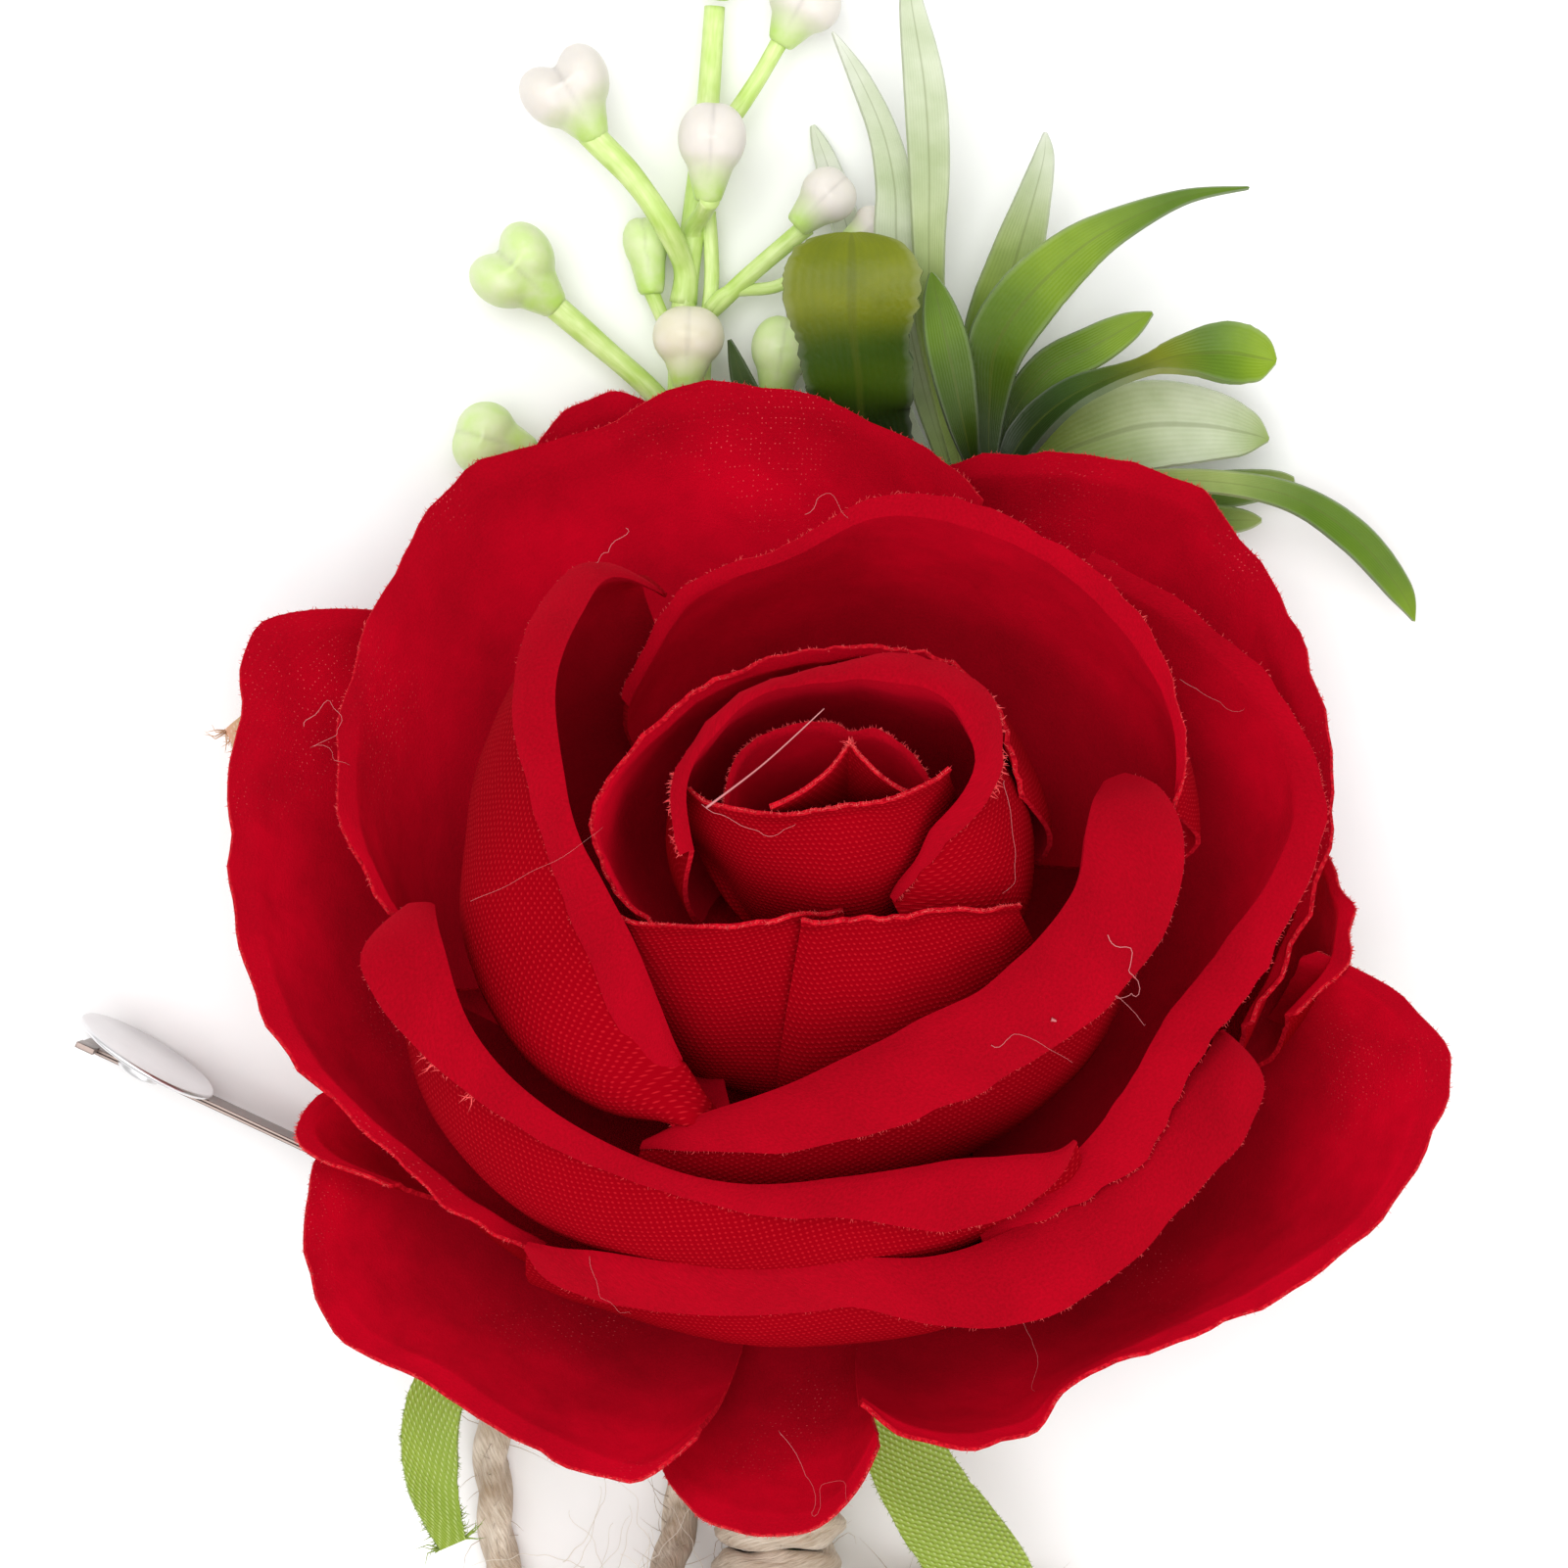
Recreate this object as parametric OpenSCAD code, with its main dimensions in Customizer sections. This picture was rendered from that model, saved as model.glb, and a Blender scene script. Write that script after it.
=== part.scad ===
// Flower lapel pin: a velvet rose with a sprig of buds and a sprig of leaves behind it,
// their stems bound with twine to one stem, and a metal clip. It lies on its back,
// +Z up, with the origin on the surface straight behind the foot of the rose.

/* [Rose] */
// Width of the rose across its outer petals
rose_w = 75; // [72:1:79]
// Height of the bud's rim above the foot of the rose
rose_h = 36; // [35:0.5:37]
// Lean of the rose from upright towards the sprigs, in degrees
rose_tilt = 30; // [27:1:31]
// Height of the foot of the rose above the surface
foot_z = 11; // [10.5:0.5:13]
// Thickness of a petal's cloth
petal_wall = 1; // [1:0.01:1.02]
// Diameter of the post that the petals are glued round
core_d = 7; // [7:0.5:8]
// Gap between a piece and what it is seated on
seat_gap = 0.3; // [0.2:0.05:0.4]

/* [Calyx] */
// Thickness of the green cloth
calyx_wall = 1; // [1:0.1:1.2]
// Height of the ring that carries the green cloth leaves
calyx_h = 1.6; // [1.4:0.1:2]

/* [Stem and twine] */
// Diameter of the rose's stem
stem_d = 3.2; // [3:0.1:3.3]
// Sideways turn of the stem, in degrees
stem_turn = 7; // [6:0.5:8]
// Distance from the rose's foot to the stem's cut end
stem_l = 58; // [54:1:64]
// Distance from the rose's foot to the first turn of twine
wrap_start = 20; // [20:0.5:21]
// Number of turns of twine round the stem
wrap_turns = 12; // [10:1:12]
// Diameter of the twine
twine_d = 2.6; // [2.4:0.1:2.6]

/* [Clip] */
// Length of the clip's bar
clip_l = 47; // [44:1:50]
// Width of the bar, which stands on edge
clip_w = 5; // [4:0.5:6]
// Thickness of each of the bar's two blades
blade_t = 0.45; // [0.4:0.05:0.5]
// Gap between the two blades
blade_gap = 0.4; // [0.3:0.05:0.5]
// Angle of the bar in plan, in degrees
clip_turn = 153; // [151:1:155]
// Diameter of the round pad
pad_d = 10; // [9:0.5:11]
// Thickness of the round pad
pad_t = 0.5; // [0.4:0.1:0.7]
// Lean of the pad towards the view, in degrees
pad_lean = 14; // [10:1:18]

/* [Sprigs] */
// Diameter of the bud sprig's main stem at the twine
sprig_d = 2.4; // [2:0.1:2.6]
// Length of the largest bud
bud_l = 6; // [5:0.5:6]
// Thickness of a leaf
leaf_t = 0.8; // [0.8:0.05:0.9]
// Reach of the longest leaf from its root
leaf_reach = 33; // [32.8:0.2:33.4]
// Width of the broadest leaf
leaf_w = 9.4; // [8:0.2:10]

/* [Hidden] */
rose_r = rose_w / 2;
core_r = core_d / 2;
foot_r = core_r + seat_gap + petal_wall / 2;
roll_foot_r = 1.6;
foot_share = 0.35;
core_top = 0.57;
core_drop = 5.4;
wrap_pitch = twine_d * 0.92;
wrap_l = wrap_pitch * wrap_turns;
wrap_r = stem_d / 2 + 0.15 + twine_d;
stem_z = wrap_r;
round_n = 32;
// What stands round the rose moves outwards with its width, from this width on
sprig_fit_w = 75;
spread = rose_w / sprig_fit_w;

// A place in millimetres, moved with the rose's width above the rose's foot
function placed(q) = let (k = q[1] > 0 ? spread : 1) [q[0] * k, q[1] * k, q[2]];

// Each petal is a row of upright sections. Columns of a section:
// turn (degrees round the rose), belly out, crest out, crest up, rim out, rim up.
// Out is a share of rose_r and up is a share of rose_h.
// Columns of a petal: name, foot up, belly up, centre shift out, sections.
PETALS = [
    ["petal_heart_roll", 0.70, 0.82, [0.01, 0.012], [
        [ 20, 0.055, 0.052, 1.01, 0.054, 1.025],
        [100, 0.045, 0.030, 1.0, 0.032, 1.015],
        [180, 0.058, 0.056, 0.985, 0.058, 1.0],
        [215, 0.066, 0.066, 0.975, 0.068, 0.985],
        [262, 0.046, 0.032, 1.0, 0.032, 1.015],
        [310, 0.045, 0.028, 1.02, 0.026, 1.035],
        [345, 0.054, 0.050, 1.02, 0.050, 1.035]]],
    ["petal_heart_front", 0.56, 0.78, [0, 0], [
        [188, 0.20, 0.205, 0.93, 0.205, 0.96],
        [205, 0.175, 0.148, 0.975, 0.148, 1.0],
        [235, 0.145, 0.085, 0.98, 0.085, 1.01],
        [270, 0.14, 0.065, 0.98, 0.065, 1.01],
        [310, 0.14, 0.075, 0.975, 0.075, 1.005],
        [345, 0.16, 0.120, 0.965, 0.120, 0.995],
        [368, 0.18, 0.165, 0.93, 0.165, 0.96]]],
    ["petal_heart_back", 0.52, 0.76, [0, 0], [
        [ 25, 0.13, 0.115, 0.94, 0.120, 0.955],
        [ 55, 0.12, 0.090, 0.95, 0.098, 0.96],
        [ 90, 0.115, 0.085, 0.95, 0.096, 0.96],
        [130, 0.12, 0.100, 0.95, 0.112, 0.96],
        [170, 0.15, 0.155, 0.94, 0.160, 0.95]]],
    ["petal_collar", 0.46, 0.68, [0, 0], [
        [-58, 0.27, 0.155, 0.83, 0.170, 0.835],
        [-25, 0.31, 0.155, 0.93, 0.185, 0.915],
        [  4, 0.31, 0.210, 0.975, 0.255, 0.958],
        [ 35, 0.30, 0.200, 1.01, 0.283, 0.985],
        [ 65, 0.27, 0.170, 1.015, 0.240, 1.0],
        [100, 0.25, 0.160, 1.01, 0.195, 1.0],
        [150, 0.27, 0.190, 1.0, 0.222, 0.995],
        [180, 0.31, 0.235, 0.985, 0.268, 0.975],
        [203, 0.29, 0.250, 0.925, 0.280, 0.925]]],
    ["petal_outer_collar", 0.42, 0.62, [0, 0], [
        [ 15, 0.36, 0.315, 0.86, 0.318, 0.885],
        [ 40, 0.36, 0.305, 0.92, 0.310, 0.945],
        [ 70, 0.34, 0.268, 0.93, 0.272, 0.955],
        [100, 0.32, 0.250, 0.93, 0.255, 0.958],
        [135, 0.33, 0.270, 0.93, 0.277, 0.955],
        [162, 0.36, 0.315, 0.92, 0.323, 0.945],
        [184, 0.385, 0.385, 0.89, 0.395, 0.915],
        [199, 0.355, 0.340, 0.87, 0.345, 0.89],
        [212, 0.33, 0.305, 0.82, 0.305, 0.85]]],
    ["petal_bud_left", 0.38, 0.55, [0, 0], [
        [196, 0.44, 0.415, 0.80, 0.415, 0.825],
        [209, 0.415, 0.380, 0.825, 0.380, 0.85],
        [220, 0.38, 0.312, 0.835, 0.312, 0.86],
        [236, 0.35, 0.235, 0.835, 0.235, 0.86],
        [257, 0.345, 0.205, 0.83, 0.205, 0.857]]],
    ["petal_bud_right", 0.40, 0.56, [0, 0], [
        [254, 0.27, 0.153, 0.845, 0.153, 0.875],
        [275, 0.33, 0.193, 0.85, 0.193, 0.875],
        [297, 0.35, 0.212, 0.842, 0.212, 0.867],
        [315, 0.355, 0.245, 0.84, 0.245, 0.868],
        [325, 0.36, 0.290, 0.83, 0.290, 0.858],
        [334, 0.36, 0.320, 0.79, 0.320, 0.82]]],
    ["petal_wing_left", 0.27, 0.60, [0, 0], [
        [122, 0.59, 0.550, 0.80, 0.565, 0.79],
        [131, 0.58, 0.560, 0.90, 0.600, 0.905],
        [143, 0.58, 0.510, 0.97, 0.585, 0.975],
        [158, 0.58, 0.475, 1.01, 0.555, 1.0],
        [175, 0.585, 0.440, 1.0, 0.497, 0.975],
        [192, 0.60, 0.410, 0.935, 0.445, 0.90],
        [210, 0.59, 0.390, 0.865, 0.425, 0.83],
        [226, 0.55, 0.415, 0.785, 0.448, 0.755],
        [238, 0.48, 0.430, 0.685, 0.460, 0.66]]],
    ["petal_back", 0.31, 0.52, [0, 0], [
        [  9, 0.56, 0.550, 0.70, 0.555, 0.72],
        [ 20, 0.565, 0.575, 0.82, 0.600, 0.84],
        [ 40, 0.56, 0.575, 0.87, 0.615, 0.89],
        [ 62, 0.55, 0.555, 0.91, 0.605, 0.925],
        [ 82, 0.53, 0.530, 0.915, 0.580, 0.93],
        [100, 0.50, 0.470, 0.875, 0.500, 0.89],
        [118, 0.46, 0.475, 0.84, 0.505, 0.858],
        [136, 0.42, 0.440, 0.76, 0.470, 0.785]]],
    ["petal_wing_right", 0.24, 0.42, [0, 0], [
        [236, 0.56, 0.555, 0.605, 0.570, 0.603],
        [245, 0.53, 0.475, 0.665, 0.545, 0.638],
        [262, 0.49, 0.390, 0.72, 0.510, 0.67],
        [285, 0.455, 0.335, 0.755, 0.480, 0.705],
        [308, 0.445, 0.332, 0.785, 0.487, 0.735],
        [328, 0.46, 0.352, 0.805, 0.525, 0.768],
        [345, 0.47, 0.378, 0.825, 0.552, 0.79],
        [360, 0.48, 0.380, 0.82, 0.549, 0.82],
        [372, 0.45, 0.420, 0.75, 0.470, 0.77]]],
    ["petal_wing_low", 0.19, 0.38, [0, 0], [
        [188, 0.66, 0.655, 0.72, 0.700, 0.735],
        [196, 0.68, 0.640, 0.76, 0.790, 0.755],
        [208, 0.69, 0.660, 0.74, 0.755, 0.722],
        [220, 0.65, 0.645, 0.70, 0.700, 0.675],
        [233, 0.60, 0.615, 0.675, 0.655, 0.655],
        [250, 0.55, 0.580, 0.644, 0.618, 0.622],
        [270, 0.51, 0.530, 0.625, 0.580, 0.600],
        [290, 0.51, 0.530, 0.616, 0.600, 0.580],
        [299, 0.52, 0.552, 0.614, 0.590, 0.596],
        [306, 0.53, 0.572, 0.608, 0.578, 0.606]]],
    ["petal_guard_right", 0.15, 0.34, [0, 0], [
        [-66, 0.585, 0.605, 0.435, 0.617, 0.45],
        [-48, 0.59, 0.625, 0.49, 0.643, 0.51],
        [-30, 0.58, 0.600, 0.54, 0.630, 0.56],
        [-15, 0.58, 0.625, 0.55, 0.660, 0.573],
        [  2, 0.59, 0.720, 0.57, 0.765, 0.597],
        [ 20, 0.61, 0.775, 0.605, 0.820, 0.63],
        [ 38, 0.61, 0.740, 0.635, 0.780, 0.66],
        [ 55, 0.60, 0.710, 0.65, 0.745, 0.665]]],
    ["petal_guard_low", 0.10, 0.20, [0, 0], [
        [229, 0.66, 0.765, 0.475, 0.775, 0.47],
        [240, 0.64, 0.700, 0.48, 0.750, 0.43],
        [256, 0.61, 0.635, 0.487, 0.695, 0.415],
        [272, 0.59, 0.610, 0.49, 0.660, 0.41],
        [288, 0.61, 0.645, 0.495, 0.715, 0.405],
        [302, 0.63, 0.685, 0.505, 0.750, 0.43],
        [318, 0.64, 0.700, 0.51, 0.745, 0.478],
        [332, 0.65, 0.705, 0.52, 0.760, 0.50],
        [341, 0.65, 0.690, 0.52, 0.710, 0.53]]],
    ["petal_top_left", 0.10, 0.25, [0, 0], [
        [ 72, 0.62, 0.780, 0.55, 0.810, 0.58],
        [ 84, 0.63, 0.880, 0.55, 0.925, 0.583],
        [102, 0.64, 1.000, 0.525, 1.055, 0.557],
        [115, 0.64, 0.990, 0.525, 1.040, 0.557],
        [127, 0.64, 1.010, 0.535, 1.070, 0.57],
        [140, 0.64, 0.925, 0.555, 0.975, 0.583],
        [155, 0.64, 0.865, 0.555, 0.910, 0.58],
        [168, 0.65, 0.800, 0.525, 0.845, 0.548],
        [180, 0.66, 0.710, 0.50, 0.740, 0.525]]],
    ["petal_top_right", 0.06, 0.15, [0, 0], [
        [-12, 0.61, 0.680, 0.385, 0.700, 0.41],
        [  0, 0.64, 0.740, 0.435, 0.770, 0.462],
        [ 14, 0.67, 0.815, 0.475, 0.860, 0.50],
        [ 30, 0.69, 0.880, 0.50, 0.930, 0.528],
        [ 45, 0.69, 0.950, 0.50, 1.000, 0.528],
        [ 54, 0.69, 0.990, 0.50, 1.040, 0.528],
        [ 68, 0.68, 0.905, 0.50, 0.950, 0.527],
        [ 81, 0.68, 0.850, 0.41, 0.890, 0.43]]],
    ["petal_left", 0.055, 0.165, [0, 0], [
        [142, 0.68, 0.920, 0.465, 0.970, 0.495],
        [150, 0.69, 1.070, 0.455, 1.135, 0.48],
        [158, 0.69, 1.030, 0.45, 1.080, 0.475],
        [170, 0.70, 0.975, 0.445, 1.025, 0.472],
        [182, 0.70, 0.940, 0.44, 0.985, 0.468],
        [194, 0.69, 0.895, 0.42, 0.940, 0.445],
        [208, 0.66, 0.780, 0.42, 0.810, 0.44],
        [222, 0.65, 0.715, 0.41, 0.740, 0.43]]],
    ["petal_low_left", -0.045, -0.02, [0, 0], [
        [199, 0.64, 0.880, 0.175, 0.920, 0.195],
        [209, 0.65, 0.955, 0.22, 1.000, 0.245],
        [218, 0.64, 0.990, 0.235, 1.040, 0.26],
        [228, 0.64, 0.935, 0.225, 0.985, 0.248],
        [240, 0.63, 0.920, 0.20, 0.965, 0.22],
        [249, 0.61, 0.895, 0.17, 0.940, 0.195],
        [254, 0.60, 0.800, 0.18, 0.830, 0.20]]],
    ["petal_low", -0.085, -0.075, [0, 0], [
        [247, 0.57, 0.740, -0.01, 0.780, 0.003],
        [254, 0.60, 0.860, 0.06, 0.905, 0.075],
        [262, 0.60, 0.900, 0.10, 0.945, 0.115],
        [269, 0.59, 0.870, 0.095, 0.915, 0.11],
        [275, 0.57, 0.740, 0.09, 0.780, 0.105]]],
    ["petal_low_right", -0.045, 0.0, [0, 0], [
        [273, 0.60, 0.720, 0.18, 0.750, 0.195],
        [281, 0.61, 0.790, 0.175, 0.830, 0.195],
        [291, 0.62, 0.820, 0.18, 0.860, 0.198],
        [299, 0.62, 0.790, 0.20, 0.820, 0.225],
        [310, 0.64, 0.820, 0.24, 0.860, 0.265],
        [322, 0.66, 0.890, 0.27, 0.940, 0.295],
        [334, 0.67, 0.970, 0.31, 1.015, 0.335],
        [347, 0.67, 0.990, 0.35, 1.040, 0.375],
        [357, 0.66, 0.880, 0.33, 0.920, 0.355]]],
    ["petal_right", 0.0, 0.08, [0, 0], [
        [-7, 0.67, 0.750, 0.32, 0.770, 0.34],
        [-1, 0.70, 0.815, 0.36, 0.850, 0.375],
        [ 4, 0.70, 0.835, 0.37, 0.865, 0.385],
        [ 9, 0.70, 0.840, 0.345, 0.860, 0.36],
        [14, 0.70, 0.840, 0.32, 0.860, 0.34]]],
    ["petal_tuck_top", 0.02, 0.17, [0, 0], [
        [104, 0.66, 0.980, 0.42, 1.020, 0.44],
        [108, 0.68, 1.070, 0.435, 1.120, 0.455],
        [112, 0.68, 1.100, 0.44, 1.150, 0.46],
        [117, 0.68, 1.080, 0.435, 1.120, 0.455],
        [123, 0.66, 0.980, 0.42, 1.020, 0.44]]],
    ["petal_tuck_left", 0.0, 0.065, [0, 0], [
        [191, 0.65, 0.780, 0.185, 0.810, 0.20],
        [194, 0.67, 0.855, 0.245, 0.895, 0.26],
        [198, 0.68, 0.905, 0.28, 0.945, 0.292],
        [202, 0.67, 0.880, 0.272, 0.920, 0.287],
        [207, 0.65, 0.800, 0.245, 0.830, 0.26]]],
];

// Steps along a petal's profile: 0 at the foot, 1 at the crest and 2 at the rim
PROFILE = [0, 0.22, 0.45, 0.7, 0.9, 1, 1.5, 2];

// The value between the rows of a table at place s, on a smooth curve through the rows
function row_at(rows, s) =
    let (n = len(rows), i = min(floor(s), n - 2), f = s - i)
    let (a = rows[max(i - 1, 0)], b = rows[i], c = rows[i + 1], d = rows[min(i + 2, n - 1)])
    0.5 * (2 * b + (c - a) * f + (2 * a - 5 * b + 4 * c - d) * f * f
        + (3 * b - a - 3 * c + d) * f * f * f);

// A curve from a to b whose middle is m
function through(a, m, b, t) =
    let (c = 2 * m - (a + b) / 2) (1 - t) * (1 - t) * a + 2 * t * (1 - t) * c + t * t * b;

function unit(v) = v / max(norm(v), 1e-9);

// Out and up, in millimetres, at step t of a section's profile
function profile(foot_up, belly_up, row, t) =
    let (foot = [foot_up > core_top + 0.1 ? roll_foot_r : foot_r, foot_up * rose_h], belly = [row[1] * rose_r, belly_up * rose_h])
    let (crest = [row[2] * rose_r, row[3] * rose_h], rim = [row[4] * rose_r, row[5] * rose_h])
    let (roll = (crest + rim) / 2 + [0, 0.14 * norm(rim - crest)])
    t <= 1 ? through(foot, belly, crest, t) : through(crest, roll, rim, t - 1);

// The share of a petal's full sweep at step t: narrow at its foot, full from the belly on
function sweep_share(t) = foot_share + (1 - foot_share) * sin(90 * min(1, 2 * t));

function petal_grid(p) =
    let (rows = p[4], n = len(rows), cols = n + 2, mid = (rows[0][0] + rows[n - 1][0]) / 2)
    [for (i = [0 : cols - 1])
        let (row = row_at(rows, i * (n - 1) / (cols - 1)))
        [for (t = PROFILE)
            let (q = profile(p[1], p[2], row, t), turn = mid + (row[0] - mid) * sweep_share(t))
            [q[0] * cos(turn) + p[3][0] * rose_r, q[0] * sin(turn) + p[3][1] * rose_r, q[1]]]];

// The outward direction of a grid of points at column i and step j
function grid_normal(g, i, j) =
    let (across = g[min(i + 1, len(g) - 1)][j] - g[max(i - 1, 0)][j])
    let (along = g[i][min(j + 1, len(g[i]) - 1)] - g[i][max(j - 1, 0)])
    unit(cross(across, along));

// Closed sections of a sheet: its inner face from foot to rim, then its outer face back
function sheet_rings(g, wall) =
    let (m = len(g[0]))
    [for (i = [0 : len(g) - 1]) concat(
        [for (j = [0 : m - 1]) g[i][j] - grid_normal(g, i, j) * wall / 2],
        [for (j = [m - 1 : -1 : 0]) g[i][j] + grid_normal(g, i, j) * wall / 2])];

// A closed solid through like sections, each end closed by strips across it
module skin(rings) {
    n = len(rings[0]);
    last = len(rings) - 1;
    points = [for (ring = rings) for (q = ring) q];
    sides = [for (i = [0 : last - 1]) for (k = [0 : n - 1])
        let (a = i * n + k, b = i * n + (k + 1) % n)
        each [[a, b + n, b], [a, a + n, b + n]]];
    start = [for (k = [0 : n / 2 - 2])
        each [[k, k + 1, n - 2 - k], [k, n - 2 - k, n - 1 - k]]];
    end = [for (k = [0 : n / 2 - 2]) let (o = last * n)
        each [[o + k, o + n - 2 - k, o + k + 1], [o + k, o + n - 1 - k, o + n - 2 - k]]];
    polyhedron(points, concat(sides, start, end));
}

// The rose's own frame: up along its axis, from its foot
module in_rose() {
    translate([0, 0, foot_z]) rotate([-rose_tilt, 0, 0]) children();
}

module petal(p) {
    color("crimson") in_rose() skin(sheet_rings(petal_grid(p), petal_wall));
}

// The post with its domed top
module rose_core() {
    color("darkred") in_rose() union() {
        translate([0, 0, -core_drop])
            cylinder(r = core_r, h = core_top * rose_h + core_drop, $fn = round_n);
        translate([0, 0, core_top * rose_h]) sphere(r = core_r - 0.1, $fn = round_n);
    }
}

// Cloth leaves of the calyx, each a row of places from the ring to the tip. Columns:
// turn, out and up (shares of rose_r and rose_h), half width (share of rose_r).
SEPALS = [
    [[155, 0.15, -0.125, 0.06], [155, 0.40, -0.10, 0.08], [155, 0.70, -0.01, 0.10],
        [154, 1.00, 0.10, 0.08], [151, 1.19, 0.17, 0.02]],
    [[217, 0.15, -0.125, 0.06], [215, 0.40, -0.15, 0.07], [214, 0.68, -0.19, 0.07],
        [216, 0.87, -0.24, 0.06], [222, 0.96, -0.33, 0.05], [228, 1.01, -0.43, 0.012]],
    [[277, 0.15, -0.125, 0.06], [278, 0.38, -0.20, 0.07], [281, 0.61, -0.33, 0.07],
        [288, 0.82, -0.44, 0.08], [293, 0.98, -0.52, 0.03]],
    [[4, 0.15, -0.125, 0.06], [4, 0.40, -0.11, 0.08], [4, 0.70, -0.09, 0.10],
        [4, 0.86, -0.07, 0.07], [5, 0.98, -0.05, 0.02]],
    [[98, 0.15, -0.125, 0.06], [98, 0.24, -0.11, 0.07], [98, 0.33, -0.09, 0.06],
        [98, 0.40, -0.07, 0.02]],
];

// A strip of cloth along a row of places, its width along the side direction
function strip_grid(places, side, halves) =
    [for (i = [0 : len(places) - 1])
        [for (k = [-1, 0, 1]) places[i] + side[i] * halves[i] * k]];

module sepal(p) {
    steps = 8;
    rows = [for (i = [0 : steps]) row_at(p, i * (len(p) - 1) / steps)];
    places = [for (q = rows) [q[1] * rose_r * cos(q[0]), q[1] * rose_r * sin(q[0]), q[2] * rose_h]];
    side = [for (i = [0 : steps])
        let (way = places[min(i + 1, steps)] - places[max(i - 1, 0)]) unit([-way[1], way[0], 0])];
    skin(sheet_rings(strip_grid(places, side, [for (q = rows) q[3] * rose_r]), calyx_wall));
}

module calyx() {
    ring_in = core_r + seat_gap;
    ring_out = 0.17 * rose_r;
    color("olivedrab") in_rose() union() {
        translate([0, 0, -core_drop]) difference() {
            cylinder(r = ring_out, h = calyx_h, $fn = round_n);
            translate([0, 0, -1]) cylinder(r = ring_in, h = calyx_h + 2, $fn = round_n);
        }
        for (p = SEPALS) sepal(p);
    }
}

// The rose's stem: out of the post's foot, bent to lie level, then straight to its cut end
module stem() {
    top_y = -(core_drop + seat_gap) * sin(rose_tilt);
    top_z = foot_z - (core_drop + seat_gap) * cos(rose_tilt);
    bend = 90 - rose_tilt;
    bend_r = (top_z - stem_z) / (1 - cos(bend));
    arc = [for (t = [0 : 10 : bend]) [0, -bend_r * (sin(bend) - sin(bend - t)),
        stem_z + bend_r * (1 - cos(bend - t))]];
    color("olivedrab") translate([0, top_y, 0]) rotate([0, 0, -stem_turn])
        tube(concat(arc, [[0, top_y - stem_l, stem_z]]), [for (i = [0 : len(arc)]) stem_d / 2], 12);
}

// The stem's own frame at the twine: along -Y from the rose's foot
module on_stem() {
    translate([0, -(core_drop + seat_gap) * sin(rose_tilt), stem_z]) rotate([0, 0, -stem_turn]) children();
}

module twine_wrap() {
    in_r = stem_d / 2 + 0.15;
    color("tan") on_stem() translate([0, -wrap_start, 0]) rotate([90, 0, 0])
        rotate_extrude($fn = round_n) union() {
            translate([in_r, 0]) square([twine_d / 2, wrap_l]);
            for (i = [0 : wrap_turns - 1])
                translate([in_r + twine_d / 2, (i + 0.5) * wrap_pitch]) circle(d = twine_d, $fn = 16);
        }
}

// The bow's knot lies across the stem on top of the twine
knot_r = 2.65;
knot_l = 6;
knot_at = [-5.7, -38.4, stem_z + wrap_r + seat_gap + knot_r];

// Routes of the bow's four stretches of twine, in millimetres, from the knot outwards
LOOP_LEFT = [
    [-9.2, -39.8, 11.6], [-10.6, -39.8, 11.4], [-12.2, -40.1, 10.2], [-14.4, -40.4, 7.4],
    [-16.8, -40.2, 4.6], [-19.6, -38.8, 2.4], [-21.6, -36.2, 1.6], [-22.3, -33.0, 1.4],
    [-22.6, -29.6, 1.4], [-22.7, -26.2, 1.4], [-22.0, -23.0, 1.4], [-19.6, -20.8, 1.4],
    [-16.4, -20.2, 1.4], [-13.2, -20.9, 1.4], [-10.6, -22.8, 1.4], [-9.6, -25.6, 1.4],
    [-9.8, -28.4, 1.4], [-10.1, -31.0, 1.8], [-10.6, -33.2, 3.4], [-11.0, -34.8, 6.2],
    [-11.1, -36.2, 9.2], [-10.6, -37.0, 10.8], [-9.2, -37.0, 11.3]];
LOOP_RIGHT = [
    [-2.3, -37.0, 11.2], [-0.9, -37.0, 10.9], [0.7, -36.9, 9.6], [2.0, -36.8, 7.2],
    [3.4, -36.6, 4.6], [5.6, -36.4, 2.4], [8.6, -36.4, 1.5], [11.8, -36.8, 1.4],
    [15.0, -37.6, 1.4], [18.2, -39.0, 1.4], [20.4, -41.6, 1.4], [20.2, -44.8, 1.4],
    [17.6, -46.8, 1.4], [14.4, -46.4, 1.4], [11.4, -44.8, 1.4], [8.6, -43.0, 1.6],
    [6.2, -41.6, 2.8], [4.2, -40.8, 5.2], [2.4, -40.3, 7.8], [0.8, -39.9, 10.0],
    [-0.8, -39.8, 11.3], [-2.3, -39.8, 11.6]];
TAIL_LEFT = [
    [-7.3, -41.5, 11.2], [-7.8, -43.0, 11.0], [-9.2, -44.4, 10.2], [-11.2, -45.4, 8.2],
    [-12.8, -46.2, 5.6], [-14.2, -47.2, 3.2], [-15.8, -48.8, 1.8], [-17.0, -51.2, 1.4],
    [-17.6, -54.2, 1.4], [-17.2, -57.2, 1.4], [-17.4, -60.2, 1.4], [-18.8, -62.8, 1.4],
    [-20.8, -65.0, 1.4]];
TAIL_RIGHT = [
    [-4.1, -41.5, 11.2], [-3.6, -43.0, 11.0], [-2.2, -44.6, 10.2], [-0.2, -45.8, 8.2],
    [1.4, -46.8, 5.6], [2.8, -48.0, 3.2], [4.2, -49.8, 1.8], [5.2, -52.4, 1.4],
    [5.2, -55.4, 1.4], [4.6, -58.4, 1.4], [4.8, -61.4, 1.4], [6.2, -64.0, 1.4],
    [8.2, -66.0, 1.4]];

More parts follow.
